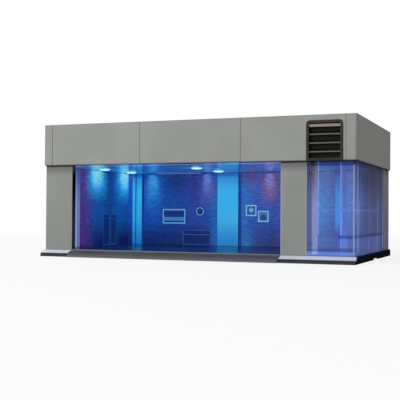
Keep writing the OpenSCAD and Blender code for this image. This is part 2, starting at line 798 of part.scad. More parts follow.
module louvre_vent() {
    field_w = louvre_w - 2 * louvre_rim;
    y_lip = y_roof + louvre_proud;
    y_blade = y_roof + louvre_d - louvre_back / 2;
    color("#3b3632") union() {
        difference() {
            union() {
                from_front(y_roof - louvre_proud, louvre_d + louvre_proud)
                    louvre_outline(0);
                from_front(y_roof + roof_wall + seat_gap, slat_t)
                    translate([-louvre_w / 2 - louvre_flange, tongue_h + lift_gap])
                        square([louvre_w + 2 * louvre_flange, louvre_h - tongue_h - lift_gap]);
            }
            from_front(y_roof - louvre_proud - over, louvre_d + louvre_proud + over - louvre_back)
                translate([-field_w / 2, louvre_rim]) square([field_w, louvre_field_h]);
        }
        for (i = [0 : slat_count - 1])
            let (lip = i == slat_count - 1 ? top_lip : slat_lip,
                 z = z_roof + slat_first + i * slat_pitch - lip / 2)
            along_x([x_louvre - louvre_w / 2 + louvre_rim / 2, x_louvre + louvre_w / 2 - louvre_rim / 2], [
                [y_lip, z],
                [y_lip + slat_t, z],
                [y_blade, z + slat_rise],
                [y_blade, z + slat_rise + slat_t],
                [y_lip + slat_t, z + lip],
                [y_lip, z + lip]
            ]);
    }
}

function lamp_place(i) =
    [lamp_x + lamp_pitch * (i % lamp_columns), y_lamp + lamp_rows * floor(i / lamp_columns)];

module ceiling_panel() {
    color("#7f9fd0") difference() {
        union() {
            bar([-x_ceiling, x_ceiling], [y_ceiling_front, y_ceiling_rear], [z_roof, z_ceiling]);
            bar([x_open_left + lift_gap, x_open_right - lift_gap],
                [y_tongue_front, y_ceiling_front + over], [z_roof, z_ceiling]);
            for (x = post_xs, y = y_board)
                let (inward = y == y_board[0] ? 1 : -1)
                translate([x, y + inward * (post_r + seat_gap), z_ceiling - over]) {
                    cylinder(r = post_r, h = post_h + over);
                    cylinder(r = pin_r, h = post_h + over + board_t);
                }
        }
        for (i = [0 : lamp_count - 1])
            translate([lamp_place(i)[0], lamp_place(i)[1], z_roof - over])
                cylinder(d = neck_d + 2 * screw_gap, h = ceiling_t + 2 * over);
        for (p = ceiling_screw_places)
            translate([p[0], p[1], z_roof - over]) {
                cylinder(r = screw_r + screw_gap, h = ceiling_t + 2 * over);
                cylinder(r = head_r + screw_gap, h = head_h + over);
            }
    }
}

module lamp_lens(i) {
    bore_r = led_r + seat_gap;
    color("#d8f4ff") translate([lamp_place(i)[0], lamp_place(i)[1], z_roof]) difference() {
        union() {
            rotate_extrude() polygon(concat(
                [[0, 0], [0, -lamp_drop]],
                [for (i = [0 : corner_steps])
                    let (a = 90 * i / corner_steps)
                    [lamp_d / 2 - lamp_drop + lamp_drop * sin(a), -lamp_drop * cos(a)]]
            ));
            cylinder(d = neck_d, h = ceiling_t + neck_rise);
        }
        translate([0, 0, ceiling_t + neck_rise - led_d]) cylinder(r = bore_r, h = led_d + over);
    }
}

module led(i) {
    stem = z_board - z_ceiling - neck_rise + led_r;
    color("#e8f6ff") translate([lamp_place(i)[0], lamp_place(i)[1], z_board - stem]) {
        sphere(r = led_r);
        cylinder(r = led_r, h = stem);
    }
}

module circuit_board() {
    color("#1f6b46") difference() {
        bar(x_board, y_board, [z_board, z_board + board_t]);
        for (x = post_xs, y = y_board)
            let (inward = y == y_board[0] ? 1 : -1)
            translate([x, y + inward * (post_r + seat_gap), z_board - over])
                cylinder(r = pin_r + screw_gap, h = board_t + 2 * over);
    }
}

module ir_receiver() {
    color("#1b1b1f") translate([x_louvre, y_board[0] + eye_d / 2 + eye_r, z_board + board_t]) {
        stand([0, 0, 0], [eye_w, eye_d, eye_h]);
        translate([0, -eye_d / 2, eye_h / 2]) sphere(r = eye_r);
    }
}

module control_chip() {
    color("#1b1b1f")
        stand([lamp_x + lamp_pitch * 5 / 4, y_lamp, z_board + board_t], [chip_w, chip_d, chip_h]);
}

module smoothing_capacitor() {
    color("#26304e")
        translate([lamp_x + lamp_pitch * 7 / 4, y_lamp, z_board + board_t])
            cylinder(d = capacitor_d, h = capacitor_h);
}

module battery_tray() {
    x = tray_x + tray_wall;
    y = [y_tray_front - tray_wall, y_tray_rear + tray_wall];
    color(base_black) union() {
        difference() {
            bar([-x, x], y, [z_tray - tray_wall, z_ledge]);
            bar([-tray_x, tray_x], [y_tray_front, y_tray_rear], [z_tray, z_ledge + over]);
        }
        for (i = [1 : cell_count - 1])
            let (rib_y = cell_y(i) - cell_pitch / 2)
            bar([-tray_x - over, tray_x + over], [rib_y - seat_gap, rib_y + seat_gap],
                [z_tray - tray_wall / 2, z_tray + cell_d / 4]);
    }
}

function cell_y(i) = y_tray_front + seat_gap + cell_pitch * (i + 0.5);

// A cell lies along X and turns end for end from one to the next
module battery(i) {
    way = i % 2 == 0 ? 1 : -1;
    color("#2f3336") translate([0, cell_y(i), z_cell]) rotate([0, 90 * way, 0]) {
        translate([0, 0, -cell_l / 2]) cylinder(d = cell_d, h = cell_l - button_l);
        translate([0, 0, cell_l / 2 - button_l - over]) cylinder(d = button_d, h = button_l + over);
    }
}

// A leaf contact at one end of a cell: a flat strip with a bowed leaf
module contact(i, side) {
    reach = contact_room - seat_gap;
    foot = leaf_h / 2;
    crown = crown_h / 2;
    color(steel) translate([side * tray_x, cell_y(i), z_cell]) mirror([side > 0 ? 1 : 0, 0, 0]) union() {
        bar([0, contact_t], [-strip_w / 2, strip_w / 2], [-strip_h / 2, strip_h / 2]);
        translate([0, leaf_w / 2, 0]) rotate([90, 0, 0]) linear_extrude(leaf_w)
            polygon([
                [contact_t / 2, -foot], [contact_t, -foot],
                [reach, -crown], [reach, crown],
                [contact_t, foot], [contact_t / 2, foot],
                [contact_t / 2, foot - contact_t], [contact_t, foot - contact_t],
                [reach - contact_t, crown - contact_t / 2], [reach - contact_t, contact_t / 2 - crown],
                [contact_t, contact_t - foot], [contact_t / 2, contact_t - foot]
            ]);
    }
}

module contacts_left() {
    for (i = [0 : cell_count - 1]) contact(i, -1);
}

module contacts_right() {
    for (i = [0 : cell_count - 1]) contact(i, 1);
}

// Flat leads from the tray's front wall down to the board
module battery_leads() {
    y = [y_tray_front - tray_wall - lead_run, y_tray_front - tray_wall];
    z = [z_board + board_t, z_tray + cell_d / 4];
    color("#a83232")
        for (s = [-1, 1])
            let (x = [s * tray_x / 2 - lead_w / 2, s * tray_x / 2 + lead_w / 2])
            union() {
                bar(x, y, [z[1], z[1] + lead_t]);
                bar(x, [y[0], y[0] + lead_t], [z[0], z[1] + lead_t]);
            }
}

// Flat leads from the switch's foot along to the board
module switch_leads() {
    z_foot = z_deck - switch_h;
    y_end = y_board[1] - 2 * lead_w;
    color("#30343a")
        for (s = [-1, 1])
            let (mid = switch_x + switch_travel / 2 + s * switch_w / 4,
                 x = [mid - lead_w / 2, mid + lead_w / 2])
            union() {
                bar(x, [y_switch - lead_t / 2, y_switch + lead_t / 2], [z_board + board_t, z_foot]);
                bar(x, [y_end, y_switch + lead_t / 2], [z_board + board_t, z_board + board_t + lead_t]);
            }
}

module switch_body() {
    color("#1b1b1f") translate([switch_x + switch_travel / 2, y_switch, 0]) difference() {
        stand([0, 0, z_deck - switch_h], [switch_w, switch_d, switch_h]);
        stand([0, 0, z_deck - switch_h / 2], [slot_l, stem_w + 2 * lift_gap, switch_h]);
    }
}

module ceiling_screws() {
    color(steel)
        for (p = ceiling_screw_places)
            translate([p[0], p[1], z_roof + head_h]) screw(ceiling_t - head_h + grip_l);
}

module battery_door() {
    color(wall_grey) difference() {
        bar([-x_door, x_door], [y_door_front, y_door_rear], [z_deck, z_top]);
        translate([0, y_door_screw, z_deck - over])
            cylinder(r = screw_r + screw_gap, h = deck_t + 2 * over);
        translate([0, y_door_screw, z_top - head_h]) cylinder(r = head_r + screw_gap, h = head_h + over);
    }
}

module door_screw() {
    color(steel) translate([0, y_door_screw, z_top - head_h])
        mirror([0, 0, 1]) screw(deck_t - head_h + grip_l - over);
}

module power_knob() {
    stem_foot = z_deck - switch_h / 2 + lift_gap;
    z_cap = z_top - dish_d + lift_gap;
    color("#1b1b1f") translate([switch_x, y_switch, 0]) difference() {
        union() {
            stand([0, 0, stem_foot], [stem_w, stem_w, z_cap + cap_h / 2 - stem_foot]);
            stand([0, 0, z_cap], [cap_w, cap_w, cap_h]);
        }
        for (i = [-1 : 1])
            stand([i * cap_w / 4, 0, z_cap + cap_h - grip_d], [grip_w, cap_w + over, over]);
    }
}

base_tray();
entry_ramp();
kerb_left();
kerb_right();
floor_panel();
left_wall();
rear_wall();
right_pier();
rear_corner_wall();
corner_window();
left_backdrop();
rear_backdrop();
pilaster_left();
pilaster_middle();
pilaster_right();
base_screws();
roof_shell();
louvre_vent();
ceiling_panel();
for (i = [0 : lamp_count - 1]) {
    lamp_lens(i);
    led(i);
}
circuit_board();
ir_receiver();
control_chip();
smoothing_capacitor();
battery_tray();
for (i = [0 : cell_count - 1])
    battery(i);
contacts_left();
contacts_right();
battery_leads();
switch_leads();
switch_body();
ceiling_screws();
battery_door();
door_screw();
power_knob();
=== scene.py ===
import json
import math

import bmesh
import bpy
from mathutils import Matrix, Vector


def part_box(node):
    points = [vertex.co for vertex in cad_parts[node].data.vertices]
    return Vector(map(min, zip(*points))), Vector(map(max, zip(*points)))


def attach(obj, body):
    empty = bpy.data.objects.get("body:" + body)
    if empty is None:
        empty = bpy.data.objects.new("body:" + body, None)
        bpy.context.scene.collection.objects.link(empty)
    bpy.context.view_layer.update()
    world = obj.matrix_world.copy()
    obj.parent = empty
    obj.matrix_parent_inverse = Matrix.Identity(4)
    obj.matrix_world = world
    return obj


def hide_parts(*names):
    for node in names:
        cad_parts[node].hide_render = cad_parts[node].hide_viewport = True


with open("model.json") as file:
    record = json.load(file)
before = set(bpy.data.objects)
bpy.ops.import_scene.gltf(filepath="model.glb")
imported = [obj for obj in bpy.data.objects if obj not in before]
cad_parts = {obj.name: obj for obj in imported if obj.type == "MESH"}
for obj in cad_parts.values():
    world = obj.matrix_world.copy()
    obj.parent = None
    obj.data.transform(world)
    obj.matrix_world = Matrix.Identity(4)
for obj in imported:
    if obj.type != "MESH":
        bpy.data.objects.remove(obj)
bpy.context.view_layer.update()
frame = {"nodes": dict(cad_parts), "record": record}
scene = bpy.context.scene
scene.view_settings.view_transform = "Standard"
mm = 0.001  # sizes below are in millimetres


def addObject(name, data):
    made = bpy.data.objects.new(name, data)
    scene.collection.objects.link(made)
    return made


# the photograph's viewpoint
shot = {
    "place": (227.5, -606.6, 32.9),
    "yaw": 21.98,
    "tilt": 0.957,
    "roll": 0.36,
    "lens": 74.3,
    "nearest": 10,
}


def setCamera(look):
    data = bpy.data.cameras.new("photoCamera")
    data.lens = look["lens"]
    data.clip_start = look["nearest"] * mm
    camera = addObject("photoCamera", data)
    turn = Matrix.Rotation(math.radians(look["yaw"]), 4, "Z")
    tip = Matrix.Rotation(math.radians(90 + look["tilt"]), 4, "X")
    lean = Matrix.Rotation(math.radians(look["roll"]), 4, "Z")
    camera.matrix_world = Matrix.Translation(Vector(look["place"]) * mm) @ turn @ tip @ lean
    scene.camera = camera


setCamera(shot)


# small helpers for the node trees; a colour is written as three sRGB numbers

def paint(colour):  # an sRGB colour as the linear one that a socket takes
    linear = []
    for part in colour:
        share = part / 255
        linear.append(share / 12.92 if share <= 0.04045 else ((share + 0.055) / 1.055) ** 2.4)
    return (*linear, 1.0)


def addNode(tree, kind, **settings):
    node = tree.nodes.new(kind)
    for name, value in settings.items():
        setattr(node, name, value)
    return node


def feed(tree, socket, value):  # links a socket, or sets a colour or a plain value
    if isinstance(value, bpy.types.NodeSocket):
        tree.links.new(value, socket)
    elif isinstance(value, tuple):
        socket.default_value = paint(value)
    else:
        socket.default_value = value


def fill(tree, node, values):  # feeds a node's inputs by their names
    for name, value in values.items():
        feed(tree, node.inputs[name], value)


def calc(tree, operation, *values, clamp=False):
    node = addNode(tree, "ShaderNodeMath", operation=operation, use_clamp=clamp)
    for socket, value in zip(node.inputs, values):
        feed(tree, socket, value)
    return node.outputs[0]


def times(tree, product, *others):
    for other in others:
        product = calc(tree, "MULTIPLY", product, other)
    return product


def minus(tree, first, second):
    return calc(tree, "SUBTRACT", first, second)


def mixColour(tree, mask, under, over, mode="MIX"):
    node = addNode(tree, "ShaderNodeMix", data_type="RGBA", blend_type=mode)
    feed(tree, node.inputs[0], mask)
    feed(tree, node.inputs[6], under)
    feed(tree, node.inputs[7], over)
    return node.outputs[2]


def ramp(tree, value, low, high):  # smooth 0 to 1 between two values
    node = addNode(tree, "ShaderNodeMapRange", interpolation_type="SMOOTHSTEP")
    fill(tree, node, {"Value": value, "From Min": low, "From Max": high})
    return node.outputs["Result"]


def spread(tree, value, low, high):  # puts a 0 to 1 value between two others
    node = addNode(tree, "ShaderNodeMapRange")
    fill(tree, node, {"Value": value, "To Min": low, "To Max": high})
    return node.outputs["Result"]


def ownPlace(tree):  # the piece's own coordinates
    return addNode(tree, "ShaderNodeTexCoord").outputs["Object"]


def axes(tree, place):  # the three coordinates of a place, in millimetres
    scaled = addNode(tree, "ShaderNodeVectorMath", operation="SCALE")
    feed(tree, scaled.inputs[0], place)
    scaled.inputs["Scale"].default_value = 1 / mm
    parts = addNode(tree, "ShaderNodeSeparateXYZ")
    feed(tree, parts.inputs[0], scaled.outputs[0])
    return parts.outputs


def facing(tree):  # the three parts of the surface's own direction
    parts = addNode(tree, "ShaderNodeSeparateXYZ")
    feed(tree, parts.inputs[0], addNode(tree, "ShaderNodeNewGeometry").outputs["Normal"])
    return parts.outputs


def band(tree, value, low, high, soft):  # 1 between two values, with soft ends
    up = ramp(tree, value, low - soft, low + soft)
    down = ramp(tree, value, high + soft, high - soft)
    return times(tree, up, down)


def bell(tree, value, centre, width):  # 1 at the centre, falling off like a bell curve
    off = calc(tree, "DIVIDE", minus(tree, value, centre), width)
    return calc(tree, "POWER", math.e, times(tree, off, off, -1.0))


def newGroup(name, inputs, outputs):  # a place is a vector, and all else a value
    group = bpy.data.node_groups.new(name, "ShaderNodeTree")
    for way, labels in (("INPUT", inputs), ("OUTPUT", outputs)):
        for label in labels.split():
            kind = "NodeSocketVector" if label == "place" else "NodeSocketFloat"
            group.interface.new_socket(label, in_out=way, socket_type=kind)
    start = group.nodes.new("NodeGroupInput")
    end = group.nodes.new("NodeGroupOutput")
    return group, start.outputs, end.inputs


def useGroup(tree, group, **values):
    node = addNode(tree, "ShaderNodeGroup", node_tree=group)
    fill(tree, node, values)
    return node.outputs


# effects that several finishes share
grainShape = {"fine": 2, "broad": 4, "cloud": (0.3, 0.7)}
edgeMaskShape = {"samples": 6, "turn": 0.25}
poolShape = {"opening": 1.1, "falloff": 1.2, "head": 0.05}
bond = {
    "Scale": 1.0, "Brick Width": 3.8, "Row Height": 1.35, "Mortar Size": 0.13, "Mortar Smooth": 0.4,
    "Color1": (0, 0, 0), "Color2": (255, 255, 255),
}


def makeGrain(look):  # fine spark-eroded grain and a broad mottle, for mouldings
    group, take, give = newGroup("mouldGrain", "place grain mottle", "height cloud")
    fine = addNode(group, "ShaderNodeTexNoise")
    broad = addNode(group, "ShaderNodeTexNoise")
    fill(group, fine, {"Vector": take["place"], "Scale": take["grain"], "Detail": look["fine"]})
    fill(group, broad, {"Vector": take["place"], "Scale": take["mottle"], "Detail": look["broad"]})
    feed(group, give["height"], fine.outputs[0])
    feed(group, give["cloud"], ramp(group, broad.outputs[0], *look["cloud"]))
    return group


def makeEdgeMask(look):  # 1 along outer and inner edges, within a radius in metres
    group, take, give = newGroup("edgeMask", "radius", "edge")
    rounded = addNode(group, "ShaderNodeBevel", samples=look["samples"])
    feed(group, rounded.inputs["Radius"], take["radius"])
    agree = addNode(group, "ShaderNodeVectorMath", operation="DOT_PRODUCT")
    feed(group, agree.inputs[0], rounded.outputs[0])
    feed(group, agree.inputs[1], addNode(group, "ShaderNodeNewGeometry").outputs["Normal"])
    turned = minus(group, 1.0, agree.outputs["Value"])
    feed(group, give["edge"], ramp(group, turned, 0.0, look["turn"]))
    return group


def makeDownlight(look):  # a lamp's pool on a wall, narrow at the top and wider below
    group, take, give = newGroup("downlight", "across height centre top reach width neck", "glow")
    below = minus(group, take["top"], take["height"])
    drop = calc(group, "MAXIMUM", calc(group, "DIVIDE", below, take["reach"]), 0.0)
    opened = times(group, calc(group, "SQRT", drop), minus(group, look["opening"], take["neck"]))
    half = times(group, take["width"], calc(group, "ADD", opened, take["neck"]))
    off = calc(group, "DIVIDE", minus(group, take["across"], take["centre"]), half)
    core = bell(group, off, 0.0, 1.0)
    fade = calc(group, "POWER", calc(group, "SUBTRACT", 1.0, drop, clamp=True), look["falloff"])
    feed(group, give["glow"], times(group, core, fade, ramp(group, drop, 0.0, look["head"])))
    return group


def makeBricks(look):  # running-bond brickwork, in millimetres
    group, take, give = newGroup("brickwork", "across height", "mortar tone")
    flat = addNode(group, "ShaderNodeCombineXYZ")
    fill(group, flat, {"X": take["across"], "Y": take["height"]})
    brick = addNode(group, "ShaderNodeTexBrick")
    feed(group, brick.inputs["Vector"], flat.outputs[0])
    fill(group, brick, look)
    feed(group, give["mortar"], brick.outputs["Fac"])
    feed(group, give["tone"], brick.outputs["Color"])
    return group


def makePlate():  # a printed rectangle and its border, in millimetres
    group, take, give = newGroup(
        "printedPlate", "across height x z halfWidth halfHeight rim", "field border",
    )
    sideways = calc(group, "ABSOLUTE", minus(group, take["across"], take["x"]))
    upright = calc(group, "ABSOLUTE", minus(group, take["height"], take["z"]))
    outX = minus(group, sideways, take["halfWidth"])
    outZ = minus(group, upright, take["halfHeight"])
    outside = calc(group, "MAXIMUM", outX, outZ)
    field = calc(group, "LESS_THAN", outside, 0.0)
    inner = calc(group, "LESS_THAN", calc(group, "ADD", outside, take["rim"]), 0.0)
    feed(group, give["field"], field)
    feed(group, give["border"], minus(group, field, inner))
    return group


def makeHalo():  # a round soft pool about a point, in millimetres
    group, take, give = newGroup("halo", "x y atX atY radius", "glow")
    dx = minus(group, take["x"], take["atX"])
    dy = minus(group, take["y"], take["atY"])
    square = calc(group, "ADD", times(group, dx, dx), times(group, dy, dy))
    share = calc(group, "DIVIDE", square, times(group, take["radius"], take["radius"]))
    feed(group, give["glow"], calc(group, "POWER", math.e, times(group, share, -1.0)))
    return group


mouldGrain = makeGrain(grainShape)
edgeMask = makeEdgeMask(edgeMaskShape)
downlight = makeDownlight(poolShape)
brickwork = makeBricks(bond)
printedPlate = makePlate()
halo = makeHalo()
print("shared effects:", len(bpy.data.node_groups))


# steps that several finishes take

def startMaterial(name):
    material = bpy.data.materials.new(name)
    material.use_nodes = True
    tree = material.node_tree
    return material, tree, tree.nodes["Principled BSDF"], ownPlace(tree)


def reopen(material):  # a finish's tree, shader and colour so far, for one more layer
    tree = material.node_tree
    shader = tree.nodes["Principled BSDF"]
    return tree, shader, shader.inputs["Base Color"].links[0].from_socket


def grainOf(tree, place, look):
    return useGroup(tree, mouldGrain, place=place, grain=look["grain"], mottle=look["mottle"])


def edgeMaskOf(tree, look):
    return useGroup(tree, edgeMask, radius=look["edgeBand"] * mm)["edge"]


def roughen(tree, shader, height, depth):  # depth of the relief in millimetres
    bump = addNode(tree, "ShaderNodeBump")
    fill(tree, bump, {"Strength": 1.0, "Distance": depth * mm, "Height": height})
    feed(tree, shader.inputs["Normal"], bump.outputs[0])


def grainSurface(tree, shader, grain, look):  # gloss from the mottle, relief from the grain
    feed(tree, shader.inputs["Roughness"], spread(tree, grain["cloud"], *look["rough"]))
    roughen(tree, shader, grain["height"], look["depth"])


def paintedGlow(tree, shader, colour, glow):  # painted light: a colour that also glows, standing in for the bay's lamplight
    fill(tree, shader, {"Base Color": colour, "Emission Color": colour, "Emission Strength": glow})


def toneWithEdgeHighlight(tree, mottle, edgeBand, look):  # between two tones, and a painted highlight along the edges
    tone = mixColour(tree, mottle, look["dark"], look["light"])
    return mixColour(tree, times(tree, edgeBand, look["highlightShare"]), tone, look["edge"])


def fadeIn(tree, colour, value, look, name):  # one of a look's colours, over the span of its name
    return mixColour(tree, ramp(tree, value, *look[name + "Span"]), colour, look[name])


# mouldings: how far the mottle takes the roughness either way, and how much smoother the edges are
mattSpread = 0.04
edgePolish = 0.08
greyShell = {
    "dark": (147, 149, 145), "light": (153, 155, 151), "edge": (174, 176, 172), "specular": 0.01,
    "grain": 2600, "mottle": 28, "edgeBand": 0.5, "highlightShare": 0.45, "rough": 0.55, "depth": 0.02,
}
pierShell = {**greyShell, "dark": (140, 142, 138), "light": (146, 148, 144)}
# painted shade: a darker copy of the grey, for the rear corner wall
shadedShell = {
    **greyShell, "dark": (128, 132, 141), "light": (134, 138, 147), "edge": (156, 166, 174), "rough": 0.6,
}
darkTray = {
    "dark": (35, 37, 41), "light": (40, 42, 47), "edge": (70, 73, 79), "specular": 0.0,
    "grain": 2200, "mottle": 40, "edgeBand": 0.4, "highlightShare": 0.4, "rough": 0.6, "depth": 0.02,
}
kerbStone = {
    "dark": (212, 215, 229), "light": (220, 223, 237), "edge": (234, 236, 244), "specular": 0.4,
    "grain": 1800, "mottle": 120, "edgeBand": 0.3, "highlightShare": 0.5, "rough": 0.5, "depth": 0.03,
}


def moulding(name, look):  # injection-moulded plastic with grain, mottle, and a painted highlight along its edges
    material, tree, shader, place = startMaterial(name)
    grain = grainOf(tree, place, look)
    edgeBand = edgeMaskOf(tree, look)
    matt = spread(tree, grain["cloud"], look["rough"] - mattSpread, look["rough"] + mattSpread)
    fill(tree, shader, {
        "Base Color": toneWithEdgeHighlight(tree, grain["cloud"], edgeBand, look),
        "Roughness": calc(tree, "MULTIPLY_ADD", edgeBand, -edgePolish, matt),
        "Specular IOR Level": look["specular"],
    })
    roughen(tree, shader, grain["height"], look["depth"])
    return material


# painted light: the pier's fin glows as though lit on the showroom side
finLight = {
    "colour": (220, 219, 206), "frontColour": (204, 226, 255), "frontShare": 0.15, "inner": (-56, -46),
    "fade": (-46, -43), "least": 0.38, "drop": (68, 46), "topShare": 0.6, "turn": (0.5, 0.8), "glow": 1.15,
}


def litFin(material, look):
    tree, shader = reopen(material)[:2]
    at = axes(tree, ownPlace(tree))
    inner = ramp(tree, at["Y"], *look["inner"])
    inside = spread(tree, inner, look["frontShare"], 1.0)
    colour = mixColour(tree, inner, look["frontColour"], look["colour"])
    aside = ramp(tree, facing(tree)["X"], *look["turn"])
    share = spread(tree, ramp(tree, at["Y"], *look["fade"]), 1.0, look["least"])
    drop = spread(tree, ramp(tree, at["Z"], *look["drop"]), look["topShare"], 1.0)
    lit = times(tree, inside, aside, share, drop)
    light = mixColour(tree, lit, (0, 0, 0), colour)
    fill(tree, shader, {"Emission Color": light, "Emission Strength": look["glow"]})
    return material


# painted shade: the walls darker under the eaves, a dark line along the roof's own lower edge, and darker
# undersides
eaves = {
    "wallTop": 68.98, "soft": (108, 109, 106), "softSpan": (60, 69), "line": (66, 67, 64),
    "lineSpan": (67.6, 68.3), "rimShade": (104, 108, 114), "rimShadeSpan": (69.9, 69.4),
    "under": (40, 44, 54), "underTurn": (-0.3, -0.7),
}


def shadeEaves(material, look):
    tree, shader, colour = reopen(material)
    height = axes(tree, ownPlace(tree))["Z"]
    below = calc(tree, "LESS_THAN", height, look["wallTop"])
    above = minus(tree, 1.0, below)
    for name, part in (("soft", below), ("line", below), ("rimShade", above)):
        mask = times(tree, ramp(tree, height, *look[name + "Span"]), part)
        colour = mixColour(tree, mask, colour, look[name])
    under = ramp(tree, facing(tree)["Z"], *look["underTurn"])
    feed(tree, shader.inputs["Base Color"], mixColour(tree, under, colour, look["under"]))


# the left pier's return, in deep shade beside the bay
returnShade = {"top": (9, 9, 20), "foot": (76, 84, 108), "span": (54, 20), "depth": 0.2, "turn": (0.5, 0.8)}


def shadeReturn(material, look):
    tree, shader, colour = reopen(material)
    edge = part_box("left_wall")[1].x / mm
    at = axes(tree, ownPlace(tree))
    turned = ramp(tree, facing(tree)["X"], *look["turn"])
    mask = times(tree, ramp(tree, at["X"], edge - look["depth"], edge - look["depth"] / 2), turned)
    shade = mixColour(tree, ramp(tree, at["Z"], *look["span"]), look["top"], look["foot"])
    feed(tree, shader.inputs["Base Color"], mixColour(tree, mask, colour, shade))
    return material


# the right pier's arrises, in the bay's light
arrisLight = {"colour": (150, 160, 184), "width": 2.2, "farWidth": 1.1, "share": 0.6}


def lightArris(material, look):
    tree, shader, colour = reopen(material)
    left, right = (corner.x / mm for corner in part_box("right_pier"))
    across = axes(tree, ownPlace(tree))["X"]
    mask = times(tree, ramp(tree, across, left + look["width"], left), look["share"])
    mask = calc(tree, "MAXIMUM", mask, ramp(tree, across, right - look["farWidth"], right))
    feed(tree, shader.inputs["Base Color"], mixColour(tree, mask, colour, look["colour"]))
    return material


# painted light and shade: faces that look ahead or aside take tones of their own, by how the light falls on
# them
faceTurn = {"ahead": (-0.6, -0.9), "aside": (0.6, 0.9)}
baseFacingShades = {"ahead": (67, 71, 80), "aside": (32, 36, 44), "share": 0.95}
kerbFacingShades = {"ahead": (70, 74, 82), "aside": (70, 74, 82), "share": 0.9}


def shadeByFacing(material, look):
    tree, shader, colour = reopen(material)
    turn = facing(tree)
    for name, part in (("ahead", turn["Y"]), ("aside", calc(tree, "ABSOLUTE", turn["X"]))):
        mask = times(tree, ramp(tree, part, *faceTurn[name]), look["share"])
        colour = mixColour(tree, mask, colour, look[name])
    feed(tree, shader.inputs["Base Color"], colour)
    return material


# the drive-up ramp, painted like worn tarmac, with a painted highlight along its edges; its toe and lip are
# measured down from its top
rampPaint = {
    "dark": (56, 57, 58), "light": (75, 76, 78), "edge": (110, 111, 113), "edgeBand": 0.4, "highlightShare": 0.6,
    "grain": 900, "mottle": 45, "flecks": (0.42, 0.66), "fleckShare": 0.4, "stainShare": 0.6,
    "toe": (112, 113, 116), "toeSpan": (2, 5.2), "toeShare": 0.6,
    "lip": (122, 123, 126), "lipSpan": (0.9, 0.5), "rough": (0.62, 0.5), "depth": 0.05,
}


def rampFinish(look):
    material, tree, shader, place = startMaterial("rampPaint")
    grain = grainOf(tree, place, look)
    flecks = ramp(tree, grain["height"], *look["flecks"])
    fleckTone = times(tree, flecks, look["fleckShare"])
    share = calc(tree, "MULTIPLY_ADD", grain["cloud"], look["stainShare"], fleckTone)
    tone = toneWithEdgeHighlight(tree, share, edgeMaskOf(tree, look), look)
    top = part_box("entry_ramp")[1].z / mm
    below = minus(tree, top, axes(tree, place)["Z"])
    toe = times(tree, ramp(tree, below, *look["toeSpan"]), look["toeShare"])
    tone = mixColour(tree, toe, tone, look["toe"])
    tone = fadeIn(tree, tone, below, look, "lip")
    fill(tree, shader, {"Base Color": tone, "Roughness": spread(tree, flecks, *look["rough"])})
    roughen(tree, shader, grain["height"], look["depth"])
    return material


# the louvre: bronze frame, painted shade in the depth behind the slats, and painted highlights along the
# slats' lips and the edges
louvreBronze = {
    "dark": (46, 42, 37), "light": (54, 50, 44), "edge": (104, 97, 88), "grain": 2400, "mottle": 60,
    "edgeBand": 0.5, "highlightShare": 0.8, "deep": (16, 14, 16), "deepSpan": (0.2, 0.9),
    "lip": (104, 99, 87), "lipSpan": (0.6, 0.86, 0.06), "topLip": (142, 133, 122), "topSpan": (6.5, 5.5),
    "flat": 0.4, "frame": 2, "frameSoft": 0.2, "rough": (0.46, 0.56), "depth": 0.015, "specular": 0.1,
}


def louvreFinish(look):
    material, tree, shader, place = startMaterial("louvreBrown")
    low, high = (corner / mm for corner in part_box("louvre_vent"))
    at = axes(tree, place)
    grain = grainOf(tree, place, look)
    tone = toneWithEdgeHighlight(tree, grain["cloud"], edgeMaskOf(tree, look), look)
    inside = minus(tree, at["Y"], low.y)
    tone = fadeIn(tree, tone, inside, look, "deep")
    flat = calc(tree, "LESS_THAN", calc(tree, "ABSOLUTE", facing(tree)["X"]), look["flat"])
    front = band(tree, inside, *look["lipSpan"])
    between = band(tree, at["X"], low.x + look["frame"], high.x - look["frame"], look["frameSoft"])
    top = ramp(tree, minus(tree, high.z, at["Z"]), *look["topSpan"])
    lipHighlight = mixColour(tree, top, look["lip"], look["topLip"])
    tone = mixColour(tree, times(tree, front, flat, between), tone, lipHighlight)
    fill(tree, shader, {"Base Color": tone, "Specular IOR Level": look["specular"]})
    grainSurface(tree, shader, grain, look)
    return material


# the brick print on the two backdrop cards: tints, pools of light, framed plates and discs;
# a pool's size is its width, reach and neck, and a plate's box is its middle, width and height
cardLook = {
    "glow": 0.66, "brick": 0.46, "mortar": 0.45, "relief": -0.03, "lowSpan": (6, 34), "faintest": 0.1,
    "tintShares": (0.35, 0.95), "pool": (0.0, 0.6), "core": (0.3, 0.85), "disc": (0.35, 0.39),
    "grain": 1500, "mottle": 60, "rough": (0.42, 0.56),
}
leftPrint = {
    "axis": "Y",
    "ground": (14, 76, 148),
    "low": (14, 26, 84),
    "tints": [
        {"at": 0, "width": 8, "span": (30, 60), "colour": (44, 66, 142)},
        {"at": -13, "width": 10, "span": (0, 12), "colour": (76, 46, 116)},
        {"at": 33, "width": 9, "span": (8, 50), "colour": (14, 54, 126)},
    ],
    "poolTop": 70.2,
    "pools": [
        {"at": 10.2, "size": (18.5, 32, 0.45), "colour": (44, 168, 232), "core": (134, 224, 224)},
        {"at": 62.4, "size": (18.5, 34, 0.55), "colour": (44, 168, 232), "core": (138, 230, 228)},
    ],
    "plates": [
        {"box": (-24.0, 37, 11.5, 64), "field": (112, 126, 182), "fade": 72},
        {"box": (-26.0, 37, 6.4, 64), "field": (146, 164, 208), "fade": 72},
        {"box": (27.5, 19, 11, 27), "field": (14, 36, 92), "rim": 0.7, "border": (30, 78, 150)},
        {"box": (40.0, 19, 11, 27), "field": (14, 40, 98), "rim": 0.7, "border": (30, 78, 150)},
        {"box": (33.7, 28.5, 18, 0.8), "field": (28, 70, 140)},
    ],
    "discs": [],
}
